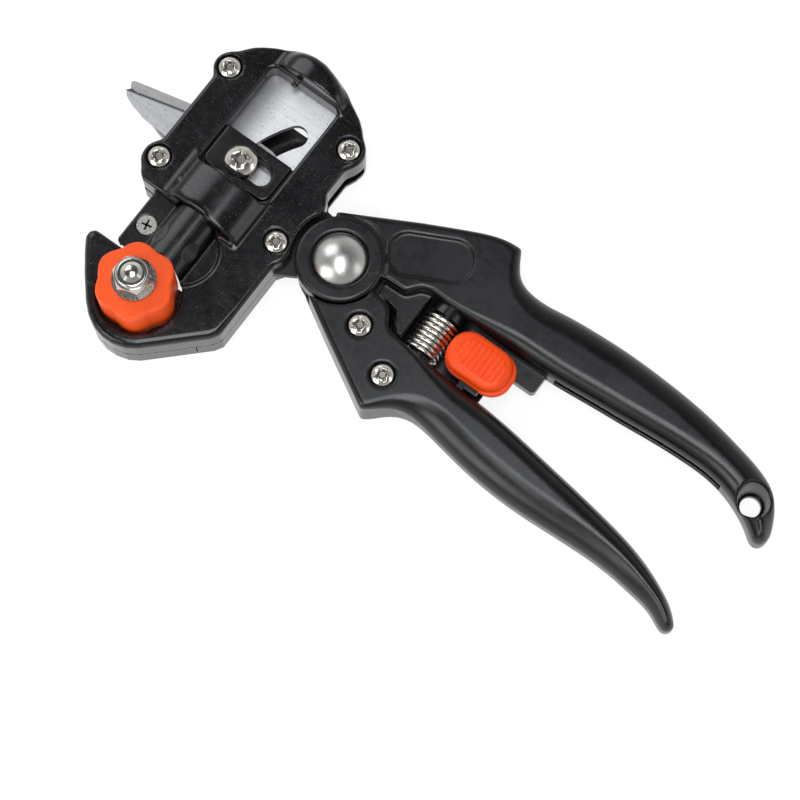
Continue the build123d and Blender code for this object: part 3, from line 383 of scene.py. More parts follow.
def soften(f, sigma):
    """Rounds the corners of a plane field."""
    n = max(1, int(3 * sigma))
    k = np.exp(-0.5 * (np.arange(-n, n + 1) / sigma) ** 2)
    k /= k.sum()
    for ax in (0, 1):
        g = np.zeros_like(f)
        pad = [(0, 0)] * f.ndim
        pad[ax] = (n, n)
        q = np.pad(f, pad, mode="edge")
        for i, w in enumerate(k):
            sl = [slice(None)] * f.ndim
            sl[ax] = slice(i, i + f.shape[ax])
            g += w * q[tuple(sl)]
        f = g
    return f


def smin(a, b, k):
    h = np.clip(0.5 + 0.5 * (b - a) / k, 0, 1)
    return b * (1 - h) + a * h - k * h * (1 - h)


def smax(a, b, k):
    return -smin(-a, -b, k)


def slab(d2, Z, z0, z1, r0, r1):
    """Extruded plane field with round edges r0 below and r1 above."""
    mid = (z0 + z1) / 2
    r = np.where(Z > mid, r1, r0)
    dz = np.where(Z > mid, Z - z1, z0 - Z)
    q, w = np.maximum(d2 + r, 0), np.maximum(dz + r, 0)
    return np.minimum(np.maximum(d2, dz), 0) * ((q <= 0) | (w <= 0)) + np.where((q > 0) & (w > 0), np.sqrt(q * q + w * w) - r, np.where(np.maximum(d2, dz) > 0, np.maximum(d2, dz), 0))


def box2(X, Y, cx, cy, hx, hy, r=0.0, deg=0.0):
    a = math.radians(deg)
    u = (X - cx) * math.cos(a) + (Y - cy) * math.sin(a)
    v = -(X - cx) * math.sin(a) + (Y - cy) * math.cos(a)
    qx, qy = np.abs(u) - hx + r, np.abs(v) - hy + r
    return np.sqrt(np.maximum(qx, 0) ** 2 + np.maximum(qy, 0) ** 2) + np.minimum(np.maximum(qx, qy), 0) - r


def box3(X, Y, Z, x0, x1, y0, y1, z0, z1):
    return np.maximum(np.maximum(np.maximum(x0 - X, X - x1), np.maximum(y0 - Y, Y - y1)), np.maximum(z0 - Z, Z - z1))


def disc(X, Y, cx, cy, r):
    return np.sqrt((X - cx) ** 2 + (Y - cy) ** 2) - r


def grid(x0, x1, y0, y1, z0, z1, h):
    xs, ys, zs = (np.arange(a, b + h, h) for a, b in ((x0, x1), (y0, y1), (z0, z1)))
    return xs[:, None, None], ys[None, :, None], zs[None, None, :], (x0, y0, z0), h


CORNERS = [(0, 0, 0), (1, 0, 0), (0, 1, 0), (1, 1, 0), (0, 0, 1), (1, 0, 1), (0, 1, 1), (1, 1, 1)]
CELL_EDGES = [(0, 1), (2, 3), (4, 5), (6, 7), (0, 2), (1, 3), (4, 6), (5, 7), (0, 4), (1, 5), (2, 6), (3, 7)]


def nets(F, origin, h):
    """Mesh of the zero surface: one point in each mixed cell, one quad across each crossing."""
    F = np.pad(F.astype(np.float32), 1, constant_values=1.0)
    origin = np.array(origin) - h
    s = F < 0
    cells = [s[a:s.shape[0] - 1 + a, b:s.shape[1] - 1 + b, c:s.shape[2] - 1 + c] for a, b, c in CORNERS]
    total = np.zeros(cells[0].shape, np.uint8)
    for c in cells:
        total += c
    mixed = (total > 0) & (total < 8)
    idx = np.argwhere(mixed)
    vals = np.stack([F[idx[:, 0] + a, idx[:, 1] + b, idx[:, 2] + c] for a, b, c in CORNERS], 1)
    acc = np.zeros((len(idx), 3))
    cnt = np.zeros(len(idx))
    C = np.array(CORNERS, float)
    for a, b in CELL_EDGES:
        fa, fb = vals[:, a], vals[:, b]
        hit = (fa < 0) != (fb < 0)
        t = np.where(hit, fa / np.where(hit, fa - fb, 1), 0)
        acc += np.where(hit[:, None], C[a] + t[:, None] * (C[b] - C[a]), 0)
        cnt += hit
    pts = origin + (idx + acc / cnt[:, None]) * h
    num = np.full(mixed.shape, -1, np.int64)
    num[mixed] = np.arange(len(idx))
    quads = []
    for ax in range(3):
        o1, o2 = [(1, 2), (2, 0), (0, 1)][ax]
        lo = [slice(None)] * 3
        hi = [slice(None)] * 3
        lo[ax], hi[ax] = slice(0, -1), slice(1, None)
        a, b = s[tuple(lo)], s[tuple(hi)]
        e = np.argwhere(a != b)
        flip = a[e[:, 0], e[:, 1], e[:, 2]]
        ok = (e[:, o1] > 0) & (e[:, o2] > 0)
        e, flip = e[ok], flip[ok]

        def cell(d1, d2):
            q = e.copy()
            q[:, o1] -= d1
            q[:, o2] -= d2
            return num[q[:, 0], q[:, 1], q[:, 2]]

        q = np.stack([cell(1, 1), cell(0, 1), cell(0, 0), cell(1, 0)], 1)
        q = np.where(flip[:, None], q, q[:, ::-1])
        quads.append(q[(q >= 0).all(1)])
    return pts, np.concatenate(quads)


def mesh_piece(name, pts, quads, mat, body, shift=SHIFT, keep=None, angle=None):
    me = bpy.data.meshes.new(name)
    me.vertices.add(len(pts))
    me.vertices.foreach_set("co", ((np.asarray(pts) + np.array(shift)) * MM).astype(np.float32).ravel())
    me.loops.add(len(quads) * 4)
    me.loops.foreach_set("vertex_index", quads.astype(np.int32).ravel())
    me.polygons.add(len(quads))
    me.polygons.foreach_set("loop_start", (np.arange(len(quads)) * 4).astype(np.int32))
    me.update(calc_edges=True)
    me.validate()
    o = bpy.data.objects.new(name, me)
    bpy.context.scene.collection.objects.link(o)
    me.materials.append(mat)
    if keep:
        d = o.modifiers.new("thin", "DECIMATE")
        d.ratio = keep
        dg = bpy.context.evaluated_depsgraph_get()
        new = bpy.data.meshes.new_from_object(o.evaluated_get(dg))
        o.modifiers.clear()
        o.data = new
        bpy.data.meshes.remove(me)
        me = new
        me.name = name
    me.shade_smooth()
    if angle:
        me.set_sharp_from_angle(angle=math.radians(angle))
    if body:
        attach(o, body)
    return o


# outlines ------------------------------------------------------------
HEAD_TOP = [(-61.6, 24.0), (-61.9, 30.6), (-59.6, 33.8), (-57.5, 36.3), (-55.0, 38.2), (-52.0, 40.0),
            (-47.6, 41.9), (-44.5, 43.0), (-40.5, 43.5), (-36.5, 43.3), (-32.5, 42.2), (-28.5, 40.7),
            (-24.0, 38.6), (-20.0, 36.4), (-17.2, 34.0), (-14.6, 30.6)]
HEAD_RIGHT = [(-12.6, 27.6), (-12.9, 24.8), (-14.3, 21.6), (-14.4, 13.4), (-12.2, 9.8), (-12.2, -10.4),
              (-13.7, -12.6), (-13.7, -37.0), (-15.1, -39.4)]
JAW = [(-30.0, -53.9), (-33.0, -55.8), (-36.5, -56.8), (-40.0, -56.9), (-43.5, -56.0), (-46.8, -54.2),
       (-50.0, -51.3), (-55.0, -45.5), (-59.3, -39.9), (-61.5, -36.6), (-61.5, -34.6), (-59.9, -33.2)]
THROAT = [(-38.0, -33.2), (-38.0, -14.2)]
HEAD_LEFT = [(-58.6, -14.2), (-60.6, -12.6), (-63.2, -8.4), (-61.6, -1.5)]
PLATE_EDGE = [(-77.4, 7.5), (-62.3, 11.1), (-62.3, 12.2), (-59.4, 14.0), (-59.2, 20.0), (-62.6, 24.4), (-63.0, 28.6), (-60.4, 31.2),
              (-50.0, 31.4), (-50.0, -12.2), (-54.0, -12.2), (-61.6, -9.4), (-62.9, -6.0),
              (-61.0, -1.8), (-60.0, 1.2), (-66.9, 2.0), (-76.9, 3.5), (-80.9, 6.0)]
SCREWS = [(-59.4, 27.3), (-59.2, -5.9), (-17.4, -6.6), (-17.2, 27.3)]
ANVIL = (-39.4, -40.9)


def make_front():
    h = 0.30
    X, Y, Z, o, h = grid(-64.6, -10.6, -58.2, 44.8, 6.6, 20.6, h)
    x2, y2 = X[:, :, 0], Y[:, :, 0]
    head = poly(HEAD_TOP + HEAD_RIGHT + JAW + THROAT + HEAD_LEFT, x2, y2)
    head = soften(head, 0.55 / h)
    for sx, sy in SCREWS:
        head = smin(head, disc(x2, y2, sx, sy, 4.7), 1.6)
    pocket = disc(x2, y2, -36.5, -24.0, 9.7)
    d2 = smax(head, -pocket, 0.5)
    d2 = np.maximum(d2, -(disc(x2, y2, 0, 0, 13.9)))
    d2 = smax(d2, -np.maximum(np.maximum(-33.2 - y2, y2 + 14.2), x2 + 38.0), 0.5)
    d2 = d2[:, :, None]
    rt = 1.1 + 0.9 * np.clip((-28.0 - Y) / 10.0, 0, 1)
    F = slab(d2, Z, 7.0, 15.0, 0.05, rt)
    # humps above and below the window
    def hump(cx, a, b, ya, yb, k_end):
        px, pz = (X - cx), (Z - 14.6)
        k0 = np.sqrt((px / a) ** 2 + (pz / b) ** 2) + 1e-6
        k1 = np.sqrt((px / a ** 2) ** 2 + (pz / b ** 2) ** 2) + 1e-6
        e = k0 * (k0 - 1.0) / k1
        e = smax(e + 0 * Y, np.maximum(ya - Y, Y - yb), k_end)
        return smax(e, head[:, :, None] + 0.25, 3.0)
    up = hump(-36.9, 10.9, 5.45, 35.0, 60.0, 1.2)
    low = hump(-38.5, 11.9, 5.45, -14.0, 0.6, 1.2)
    # shoulders that fair the humps into the face
    F = smin(F, up, 2.2)
    F = smin(F, low, 2.2)
    # the fairing stops at the end of the head
    F = smax(F, Y - 43.4, 0.4)
    F = np.maximum(F, 6.95 - Z)
    # floor of the round pocket
    floor_skin = np.maximum(np.maximum(pocket[:, :, None] - 0.3, -31.8 - X), np.maximum(13.2 - Z, Z - 13.9))
    F = np.minimum(F, floor_skin)
    # ledge under the end of the slider
    F = np.minimum(F, np.maximum(pocket[:, :, None] - 0.3, box3(X, Y, Z, -36.0, -27.0, -33.6, -29.3, 7.0, 8.5)))
    # window with soft rim
    win = box2(x2, y2, -38.0, 17.6, 11.8, 17.6, 2.4)[:, :, None]
    rim = np.clip((Z - 14.2) / 0.9, 0, 1) ** 2 * 0.7
    F = smax(F, -(win - rim), 0.35)
    # small stop on the window's end wall
    F = smin(F, box3(X, Y, Z, -42.4, -40.6, 33.4, 35.4, 12.6, 14.3), 0.25)
    # slider way and tunnel
    F = np.maximum(F, -box3(X, Y, Z, -54.7, -24.3, -32.65, 32.0, 0, 13.2))
    TUN = curve([(-46.9, 13.5), (-45.75, 15.8), (-43.3, 17.6), (-39.4, 18.2), (-35.5, 17.6), (-33.05, 15.8), (-31.9, 13.5)]) + [(-31.9, 12.0), (-46.9, 12.0)]
    tun = poly(TUN, X[:, 0, :], Z[0, :, :] + 0 * X[:, 0, :])[:, None, :]
    F = np.maximum(F, -np.maximum(tun + 0 * Y, np.maximum(-16.0 - Y, Y - 20.0)))
    # bay of the anvil
    F = smax(F, -np.maximum(disc(x2, y2, *ANVIL, 12.1)[:, :, None], 9.7 - Z), 0.5)
    # screw seats
    for sx, sy in SCREWS:
        F = smax(F, -np.maximum(disc(x2, y2, sx, sy, 3.75)[:, :, None], 13.6 - Z), 0.3)
    # way out of the blades
    pl = poly(PLATE_EDGE, x2, y2)[:, :, None]
    F = np.maximum(F, -np.maximum(pl - 0.15, Z - 8.65))
    pts, quads = nets(F, o, h)
    return pts, quads


U_LINES = [[(-9.4, 10.6), (12.0, 22.2)],
           curve([(12.0, 22.2), (21.8, 27.1), (29.7, 30.7), (35.0, 32.3), (39.0, 32.8)]),
           curve([(39.0, 32.8), (40.2, 30.6), (41.9, 27.9), (43.8, 25.9), (46.4, 24.7), (50.0, 24.25), (55.0, 24.5),
                  (60.0, 25.2), (70.0, 26.1), (80.0, 26.5), (90.0, 26.3), (100.0, 25.7), (110.0, 24.5), (120.0, 22.6),
                  (130.0, 19.9), (134.4, 17.6), (137.8, 13.8), (140.0, 9.6), (141.1, 5.6), (140.5, 3.5),
                  (138.6, 2.6), (136.2, 3.7), (134.0, 5.3), (130.0, 7.5), (125.0, 9.5), (120.0, 10.7), (115.0, 11.2),
                  (110.0, 11.2), (100.0, 10.7), (90.0, 9.8), (80.0, 9.0), (70.0, 8.1), (60.0, 7.6), (40.0, 7.4), (26.0, 7.5)]),
           [(26.0, 7.5), (23.4, 6.6), (20.4, 3.0), (12.4, 2.6), (4.0, -4.0)]]
L_LINES = [[(-4.6, -11.4), (13.4, -2.0), (17.4, -2.1)],
           curve([(17.4, -2.1), (19.8, -3.3), (21.2, -5.6), (23.0, -7.8), (25.6, -8.5)]),
           curve([(25.6, -8.5), (38.0, -9.3), (54.5, -9.6), (62.0, -10.1), (70.0, -11.0), (80.0, -12.4), (90.0, -13.8),
                  (100.0, -15.3), (110.0, -17.2), (120.0, -20.2), (125.0, -22.4), (130.0, -25.2), (132.8, -27.6),
                  (134.2, -30.0), (132.6, -31.8), (130.2, -31.3), (126.0, -29.4), (120.0, -28.2), (110.0, -27.1),
                  (100.0, -27.1), (90.0, -27.6), (80.0, -28.0), (70.0, -27.7), (60.0, -26.6), (50.0, -24.9),
                  (46.0, -24.3), (42.0, -24.1), (38.5, -24.9), (34.5, -27.5), (31.6, -30.1), (30.0, -31.2)]),
           [(30.0, -31.2), (8.6, -19.2)]]


GUARD = [(14.2, -1.3), (17.4, -1.4), (20.2, -2.7), (21.9, -5.2), (23.5, -7.1), (25.8, -7.9), (38.0, -8.6), (52.2, -8.8),
         (53.6, -7.6), (53.6, 10.6), (24.0, 10.6), (19.0, 6.0), (14.2, 5.0)]


def pillow(d2, Z, W, H):
    """Elliptical rounding: W wide, H high, both faces."""
    u = np.maximum(d2 + W, 0) / W
    v = np.maximum(np.abs(Z - 7.5) - (7.5 - H), 0) / H
    return (np.sqrt(u * u + v * v) - 1.0) * np.minimum(W, H)


def ease(t):
    t = np.clip(t, 0, 1)
    return t * t * (3 - 2 * t)


def make_upper():
    h = 0.34
    X, Y, Z, o, h = grid(-13.4, 142.0, -13.4, 34.0, -0.5, 15.6, h)
    x2, y2 = X[:, :, 0], Y[:, :, 0]
    d2 = poly([p for line in U_LINES for p in line], x2, y2)
    d2 = soften(d2, 0.5 / h)[:, :, None]
    t = ease((X - 30.0) / 26.0)
    W = 1.5 + t * 5.2
    H = 1.5 + t * 4.2
    # the grip's outer side is rounder than its inner side
    mid = np.interp(x2[:, 0], [0, 40, 60, 80, 100, 120, 130, 141], [12, 19, 16, 17.5, 18.2, 16.6, 13.5, 6])[:, None, None]
    side = ease((Y - mid) / 5.0 + 0.5)
    W = W * (0.72 + 0.38 * side)
    F = pillow(d2, Z, W, H)
    # hub
    dh = disc(x2, y2, 0, 0, 13.3)[:, :, None]
    F = np.maximum(F, -np.maximum(dh, Z - 8.9))
    F = np.maximum(F, -box3(X, Y, Z, -20, -3.0, -20, 34, -2, 8.9))
    hub = slab(disc(x2, y2, 0, 0, 12.7)[:, :, None], Z, 8.9, 15.0, 0.2, 0.9)
    F = np.minimum(F, hub)
    ring = np.sqrt((np.sqrt(X * X + Y * Y) - 12.75) ** 2 + (Z - 15.15) ** 2) - 0.62
    F = smax(F, -(ring), 0.3)
    F = smax(F, -np.maximum(disc(x2, y2, 0, 0, 8.1)[:, :, None], 13.8 - Z), 0.45)
    # oval panel
    pan = box2(x2, y2, 20.2, 15.2, 12.0, 6.3, 5.6, 27.0)[:, :, None]
    F = smax(F, -np.maximum(pan, 14.2 - Z), 0.45)
    # channel on the inner side
    ch = poly([(68.0, 4.0), (68.0, 10.6), (80.0, 11.6), (100.0, 13.4), (116.0, 13.8), (122.0, 12.4), (122.0, 4.0)], x2, y2)[:, :, None]
    F = smax(F, -np.maximum(ch, np.abs(Z - 7.5) - 2.3), 0.5)
    # lanyard hole with its dishes
    dl = disc(x2, y2, 131.9, 12.0, 0)[:, :, None]
    F = smax(F, -(dl - 2.65), 0.5)
    F = smax(F, -np.maximum((dl - 3.7 - np.maximum(Z - 4.4, 0) * 0.13) * 0.98, 4.4 - Z), 0.9)
    F = smax(F, -((dl - 2.65 - np.maximum(2.0 - Z, 0) * 0.9) * 0.74), 0.9)
    # web over the steel lobe
    web = poly([(11.0, -0.6), (13.6, -0.8), (16.2, -0.9), (20.9, -1.9), (22.6, -5.0), (24.4, -7.0), (26.3, -7.0), (26.4, 8.4), (20.0, 8.4), (11.0, 5.0)], x2, y2)[:, :, None]
    F = smin(F, np.maximum(np.maximum(web, -dh + 0.4), np.maximum(8.65 - Z, Z - 10.4)), 0.4)
    # recess of the guard on the back
    gd = poly(GUARD, x2, y2)[:, :, None]
    F = np.maximum(F, -np.maximum(gd - 0.08, Z - 1.68))
    # seat of the lock rail
    F = np.maximum(F, -box3(X, Y, Z, 40.45, 65.45, 1.0, 10.65, 4.55, 8.05))
    return nets(F, o, h)


def make_lower():
    h = 0.34
    X, Y, Z, o, h = grid(-13.0, 135.4, -33.0, 13.0, -0.5, 15.6, h)
    x2, y2 = X[:, :, 0], Y[:, :, 0]
    d2 = poly([p for line in L_LINES for p in line], x2, y2)
    d2 = soften(d2, 0.5 / h)[:, :, None]
    t = ease((X - 27.0) / 24.0)
    W = 1.5 + t * 6.0
    H = 1.5 + t * 4.6
    mid = np.interp(x2[:, 0], [0, 30, 50, 80, 110, 125, 134], [-10, -18, -17.2, -20.2, -22.1, -25.8, -30])[:, None, None]
    side = ease((mid - Y) / 5.0 + 0.5)
    W = W * (0.75 + 0.35 * side)
    F = pillow(d2, Z, W, H)
    dh = disc(x2, y2, 0, 0, 13.3)[:, :, None]
    F = smax(F, -dh, 0.4)
    low = np.maximum(np.minimum(disc(x2, y2, 0, 0, 12.3)[:, :, None], np.maximum(d2, dh - 1.5)), np.maximum(1.0 - Z, Z - 4.05))
    F = np.minimum(F, low)
    F = np.maximum(F, -(disc(x2, y2, 0, 0, 4.05)[:, :, None]))
    F = np.maximum(F, -np.maximum(disc(x2, y2, 0, 0, 6.9)[:, :, None], Z - 2.8))
    for sx, sy in [(15.9, -12.2), (29.4, -20.0)]:
        F = smax(F, -np.maximum(disc(x2, y2, sx, sy, 3.75)[:, :, None], 13.6 - Z), 0.3)
        F = np.maximum(F, -np.maximum(box2(x2, y2, sx, sy, 3.2, 3.2, 1.0)[:, :, None], Z - 3.05))
    # notch of the lock
    F = np.maximum(F, -box3(X, Y, Z, 45.6, 53.6, -12.6, -8.0, 8.2, 10.6))
    F = np.maximum(F, -box3(X, Y, Z, 45.6, 57.0, -12.6, -11.0, 8.2, 10.6))
    # stub inside the spring
    lip = poly([(15.0, -2.8), (15.0, -1.0), (18.4, -1.0), (21.0, -3.0), (22.8, -5.6), (24.8, -7.2), (27.2, -8.0), (27.2, -9.6),
                (22.4, -8.8), (20.4, -5.8), (18.8, -3.8)], x2, y2)[:, :, None]
    F = np.minimum(F, np.maximum(lip + 0.05, np.abs(Z - 3.0) - 0.78))
    stub = np.maximum(np.sqrt((X - 33.0) ** 2 + (Z - 7.6) ** 2) - 3.6 + 0 * Y, np.maximum(-10.9 - Y, Y + 5.9))
    F = np.minimum(F, stub)
    return nets(F, o, h)


def make_wheel():
    h = 0.22
    cx, cy = ANVIL
    X, Y, Z, o, h = grid(cx - 12, cx + 12, cy - 12, cy + 12, 9.6, 25.9, h)
    x2, y2 = X[:, :, 0] - cx, Y[:, :, 0] - cy
    a = np.arctan2(y2, x2)
    k = ((1 + np.cos(6 * a)) / 2) ** 0.75
    d2 = (np.sqrt(x2 ** 2 + y2 ** 2) - (10.15 + 1.12 * k))[:, :, None] * 0.97
    F = slab(d2, Z, 10.0, 25.4, 0.4, 0.75)
    F = smax(F, -(disc(x2, y2, 0, 0, 3.1)[:, :, None]), 0.4)
    return nets(F, o, h)


def make_button():
    h = 0.16
    X, Y, Z, o, h = grid(38.0, 60.2, -8.2, 6.8, 9.3, 15.6, h)
    x2, y2 = X[:, :, 0], Y[:, :, 0]
    body = box2(x2, y2, 48.5, -0.7, 9.6, 6.3, 5.6)[:, :, None]
    crown = 15.2 - 0.45 * np.clip(((X - 48.5) / 9.6) ** 2 + ((Y + 0.7) / 6.3) ** 2, 0, 1.5)
    F = slab(body, Z - (crown - 15.2), 9.7, 15.2, 0.1, 1.5)
    ribs = np.cos((X - 48.9) / 1.62 * 2 * math.pi)
    zone = ease(-(box2(x2, y2, 48.9, -0.7, 7.9, 4.5, 4.2)[:, :, None]) / 0.8)
    F = F - 0.40 * zone * (ribs - 1.0) * 0.5 * (Z > 12.0) * -1.0
    skirt = slab(box2(x2, y2, 49.1, -0.8, 10.3, 6.7, 5.9)[:, :, None], Z, 9.9, 11.6, 0.2, 0.5)
    F = smin(F, skirt, 0.4)
    F = np.maximum(F, -box3(X, Y, Z, 46.9, 53.1, -9, 3.0, 9.0, 10.55))
    return nets(F, o, h)


def make_slider():
    h = 0.22
    X, Y, Z, o, h = grid(-54.8, -24.2, -32.8, 14.0, 8.5, 18.1, h)
    x2, y2 = X[:, :, 0], Y[:, :, 0]
    base = box2(x2, y2, -39.5, -9.35, 14.7, 22.85, 1.2)[:, :, None]
    F = slab(base, Z, 8.9, 12.85, 0.2, 0.4)
    RID = curve([(-46.3, 13.2), (-45.2, 15.3), (-42.9, 17.0), (-39.4, 17.7), (-35.9, 17.0), (-33.6, 15.3), (-32.5, 13.2)]) + [(-32.5, 12.0), (-46.3, 12.0)]
    rid = poly(RID, X[:, 0, :], Z[0, :, :] + 0 * X[:, 0, :])[:, None, :]
    rid = smax(rid + 0 * Y, np.maximum(-31.4 - Y, Y - 0.6), 0.5)
    F = smin(F, rid, 0.7)
    panel = np.maximum(box2(x2, y2, -38.05, 8.05, 11.15, 7.55, 2.5)[:, :, None], Y - 13.45)
    F = np.minimum(F, slab(panel, Z, 12.0, 14.4, 0.05, 0.35))
    slot = box2(x2, y2, -36.25, 6.6, 6.35, 2.85, 2.85)[:, :, None]
    F = smax(F, -slot, 0.25)
    slot2 = box2(x2, y2, -36.55, 6.6, 7.15, 3.95, 3.95)[:, :, None]
    F = smax(F, -np.maximum(slot2, 13.5 - Z), 0.25)
    F = smax(F, -(disc(x2, y2, *ANVIL, 11.65)[:, :, None]), 0.2)
    F = np.maximum(F, -box3(X, Y, Z, -53.05, -25.75, -36, -10.35, 0, 10.92))
    om = poly([(-41.75, 10.9), (-41.75, 12.1), (-42.9, 13.3), (-43.1, 14.8), (-42.2, 16.4), (-40.4, 17.2),
               (-38.4, 17.2), (-36.6, 16.4), (-35.7, 14.8), (-35.9, 13.3), (-37.05, 12.1), (-37.05, 10.9)], X[:, 0, :], Z[0, :, :] + 0 * X[:, 0, :])[:, None, :]
    F = np.maximum(F, -np.maximum(om + 0 * Y, Y + 10.4))
    for sx, sy in [(-50.0, -23.7), (-28.8, -23.7)]:
        d = disc(x2, y2, sx, sy, 0)[:, :, None]
        F = np.maximum(F, -(d - 1.55))
        F = smax(F, -((d - 3.05 - (Z - 12.85)) * 0.71), 0.15)
    return nets(F, o, h)


def screw_field(X, Y, Z, r, rise, rim, arm, width, depth, cx=0.0, cy=0.0, turn=0.0, flat=False):
    """Round-headed cross-recess screw; the seat is at z = 0, the head above it."""
    R = (r * r + rise * rise) / (2 * rise)
    rad = np.sqrt((X - cx) ** 2 + (Y - cy) ** 2)
    ball = np.sqrt(rad ** 2 + (Z - (rim + rise - R)) ** 2) - R
    head = smax(smax(ball, rad - r, 0.25), -Z, 0.05)
    a = math.radians(turn)
    u = (X - cx) * math.cos(a) + (Y - cy) * math.sin(a)
    v = -(X - cx) * math.sin(a) + (Y - cy) * math.cos(a)
    top = rim + rise
    fall = np.clip(rad / arm, 0, 1)
    zb = top - depth + 0.45 * depth * fall ** 1.5
    flare = width / 2 * (1.0 + 0.25 * np.clip((Z - top + depth) / depth, 0, 1))
    c1 = np.maximum(np.maximum(np.abs(u) - arm, np.abs(v) - flare), zb - Z)
    c2 = np.maximum(np.maximum(np.abs(v) - arm, np.abs(u) - flare), zb - Z)
    cone = (rad - 1.15 * width - 0.5 * (Z - top + depth)) * 0.85
    cross = smin(smin(c1, c2, 0.12), np.maximum(cone, top - depth - 0.1 - Z), 0.1)
    return smax(head, -cross, 0.10)


def make_screw(cx, cy, seat, r, rise, rim, arm, width, depth, turn, shank_r, z_end):
    h = 0.13
    X, Y, Z, o, h = grid(cx - r - 0.3, cx + r + 0.3, cy - r - 0.3, cy + r + 0.3, seat - 0.4, seat + rim + rise + 0.4, h)
    F = screw_field(X, Y, Z - seat, r, rise, rim, arm, width, depth, cx, cy, turn)
    pts, quads = nets(F, o, h)
    # shank as a fine ring wall below the head
    n = 32
    zs = np.linspace(z_end, seat + 0.05, 24)
    ring = []
    for i, z in enumerate(zs):
        rr = shank_r * (1.0 if i in (0, len(zs) - 1) else (1.0 - 0.06 * (i % 2)))
        ring += [(cx + rr * math.cos(2 * math.pi * k / n), cy + rr * math.sin(2 * math.pi * k / n), z) for k in range(n)]
    base = len(pts)
    q = [[base + i * n + k, base + i * n + (k + 1) % n, base + (i + 1) * n + (k + 1) % n, base + (i + 1) * n + k]
         for i in range(len(zs) - 1) for k in range(n)]
    ring.append((cx, cy, z_end))
    c = base + len(ring) - 1
    q += [[base + (k + 2) % n, base + (k + 1) % n, base + k, c] for k in range(0, n, 2)]
    return np.vstack([pts, np.array(ring)]), np.vstack([quads, np.array(q)])


def joined(parts):
    pts, quads, base = [], [], 0
    for p, q in parts:
        pts.append(p)
        quads.append(q + base)
        base += len(p)
    return np.vstack(pts), np.vstack(quads)


def made(name, built, slot_name, body, *nodes, keep=None, angle=None):
    o = mesh_piece(name, built[0], built[1], M[slot_name], body, keep=keep, angle=angle)
    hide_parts(*nodes)
    return o


made("front_cover_moulded", make_front(), "housing_black", "frame", "front_cover", keep=0.5)
made("upper_grip", make_upper(), "handle_black", "frame", "upper_handle")
made("lower_grip", make_lower(), "handle_black", "lever", "lower_handle")
made("anvil_lobed_wheel", make_wheel(), "orange_anvil", "anvil", "anvil_wheel", keep=0.5)
made("lock_thumb_button", make_button(), "orange_button", "lock", "lock_button", keep=0.6)
made("blade_carrier", make_slider(), "slider_black", "carriage", "slider", keep=0.5)

def recess_shade(o, screws, r, rise, rim, arm):
    """Marks the cross recess of round-headed screws, so that the material can paint shade into it."""
    me = o.data
    co = np.empty(len(me.vertices) * 3, np.float32)
    me.vertices.foreach_get("co", co)
    co = co.reshape(-1, 3) / MM - np.array(SHIFT)
    R = (r * r + rise * rise) / (2 * rise)
    val = np.zeros(len(co), np.float32)
    for cx, cy, seat in screws:
        rad = np.hypot(co[:, 0] - cx, co[:, 1] - cy)
        deep = R - np.sqrt(rad ** 2 + (co[:, 2] - (seat + rim + rise - R)) ** 2)
        hit = (rad < arm + 0.15) & (co[:, 2] > seat + 0.15)
        val = np.where(hit, np.maximum(val, np.clip((deep - 0.16) / 0.30, 0, 1)), val)
    me.attributes.new("recess_shade", "FLOAT", "POINT").data.foreach_set("value", val.astype(np.float32))


PAN = dict(r=3.3, rise=1.35, rim=0.85, arm=2.15, width=0.85, depth=1.35, shank_r=1.75)
SHAPE = dict(r=3.3, rise=1.35, rim=0.85, arm=2.15)
COVER_XY = [(-59.2, -5.9), (-17.4, -6.6), (-17.2, 27.3)]
GRIP_XY = [(15.9, -12.2), (29.4, -20.0)]
o = made("cover_pan_screws", joined([make_screw(x, y, 13.65, turn=t, z_end=0.35, **PAN)
                                     for (x, y), t in zip(COVER_XY, (18, 40, 62))]),
         "nickel_screws", "frame", "cover_screws")
recess_shade(o, [(x, y, 13.65) for x, y in COVER_XY], **SHAPE)
o = made("plate_pan_screw", make_screw(-59.4, 27.3, 13.65, turn=75, z_end=6.65, **PAN), "nickel_screws", "frame", "plate_screw")
recess_shade(o, [(-59.4, 27.3, 13.65)], **SHAPE)
o = made("grip_pan_screws", joined([make_screw(x, y, 13.65, turn=t, z_end=0.9, **PAN)
                                    for (x, y), t in zip(GRIP_XY, (30, 55))]),
         "nickel_screws", "lever", "handle_screws")
recess_shade(o, [(x, y, 13.65) for x, y in GRIP_XY], **SHAPE)
o = made("drive_pan_screw", make_screw(-39.6, 6.6, 14.75, r=4.8, rise=2.15, rim=0.6, arm=2.9, width=1.05, depth=1.7, turn=22, shank_r=1.85, z_end=2.5),
         "nickel_screws", "lever", "drive_screw")
recess_shade(o, [(-39.6, 6.6, 14.75)], r=4.8, rise=2.15, rim=0.6, arm=2.9)

# ----------------------------------------------------------------------
# Stage: one pale floor, large soft lights
# ----------------------------------------------------------------------
floor_mesh = bpy.data.meshes.new("floor")
S = 3.0
floor_mesh.from_pydata([(-S, -S, 0), (S, -S, 0), (S, S, 0), (-S, S, 0)], [], [(0, 1, 2, 3)])
floor = bpy.data.objects.new("floor", floor_mesh)
scene.collection.objects.link(floor)
s = Shade("floor_paper")
fl = s.noise(s.at(), 9, 3, 0.5)
s.end(s.mix(fl, (0.27, 0.27, 0.272, 1), (0.29, 0.29, 0.29, 1)), s.span(fl, 0.3, 0.7, 0.7, 0.8), s.bump(s.noise(s.at(), 900, 2), 0.05, 0.0001))
s.b.inputs["Emission Color"].default_value = (1, 1, 1, 1)
s.b.inputs["Emission Strength"].default_value = 0.82
floor.data.materials.append(s.m)
floor.location.z = -0.0001

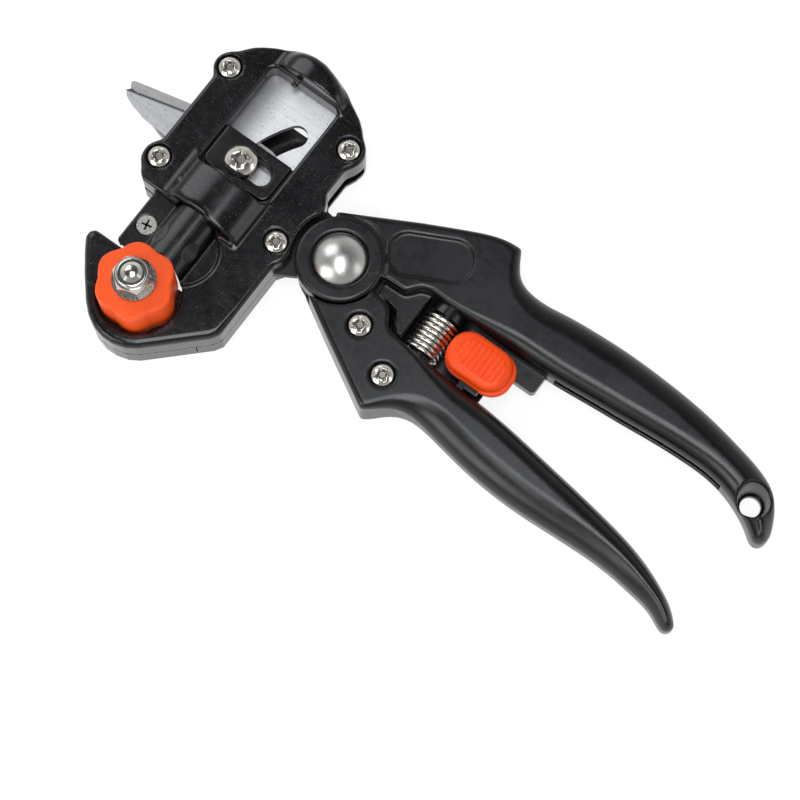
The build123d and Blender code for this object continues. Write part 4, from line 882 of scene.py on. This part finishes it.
# a room that is white round the sides and dim overhead
world = bpy.data.worlds.new("world")
scene.world = world
world.use_nodes = True
wt = world.node_tree
bg = wt.nodes["Background"]
tc = wt.nodes.new("ShaderNodeTexCoord")
sep = wt.nodes.new("ShaderNodeSeparateXYZ")
ramp = wt.nodes.new("ShaderNodeValToRGB")
wt.links.new(tc.outputs["Generated"], sep.inputs[0])
wt.links.new(sep.outputs["Z"], ramp.inputs[0])
wt.links.new(ramp.outputs[0], bg.inputs[0])
el_ = ramp.color_ramp.elements
el_[0].position, el_[0].color = 0.0, (0.70, 0.70, 0.71, 1)
el_[1].position, el_[1].color = 1.0, (0.07, 0.07, 0.08, 1)
for pos, v in ((0.30, 0.55), (0.58, 0.32), (0.82, 0.10)):
    e = el_.new(pos)
    e.color = (v, v, v * 1.01, 1)
bg.inputs[1].default_value = 1.0


# the picture's right and up directions, laid on the floor
right = Vector((math.cos(az), math.sin(az), 0))
up = Vector((-math.sin(az), math.cos(az), 0))


def spot(r, u, z):
    return right * r + up * u + Vector((0, 0, z))


def area(name, pos, size, size_y, radiance, aim, color=(1, 1, 1)):
    """Soft box with one pair of edges along the picture's right direction and the same radiance over its face."""
    d = bpy.data.lights.new(name, "AREA")
    d.shape = "RECTANGLE"
    d.size = size
    d.size_y = size_y
    d.energy = radiance * math.pi * size * size_y
    d.color = color
    o = bpy.data.objects.new(name, d)
    scene.collection.objects.link(o)
    zax = (Vector(pos) - Vector(aim)).normalized()
    xax = (right - zax * right.dot(zax)).normalized()
    yax = zax.cross(xax)
    o.matrix_world = Matrix.Translation(pos) @ Matrix((xax, yax, zax)).transposed().to_4x4()
    return o


SKY = (0.95, 0.975, 1.0)
area("overhead", spot(-0.03, -0.28, 1.20), 0.46, 0.99, 5.6, spot(-0.03, -0.28, 0.0), SKY)
area("left_box", spot(-0.66, 0.90, 1.00), 0.84, 0.84, 2.3, spot(-0.1, 0.1, 0), SKY)
area("near_box", spot(-0.90, -0.60, 0.72), 0.80, 0.60, 3.2, spot(0, 0, 0))
area("right_box", spot(1.00, -0.30, 0.60), 0.40, 0.60, 1.2, spot(0, 0, 0))
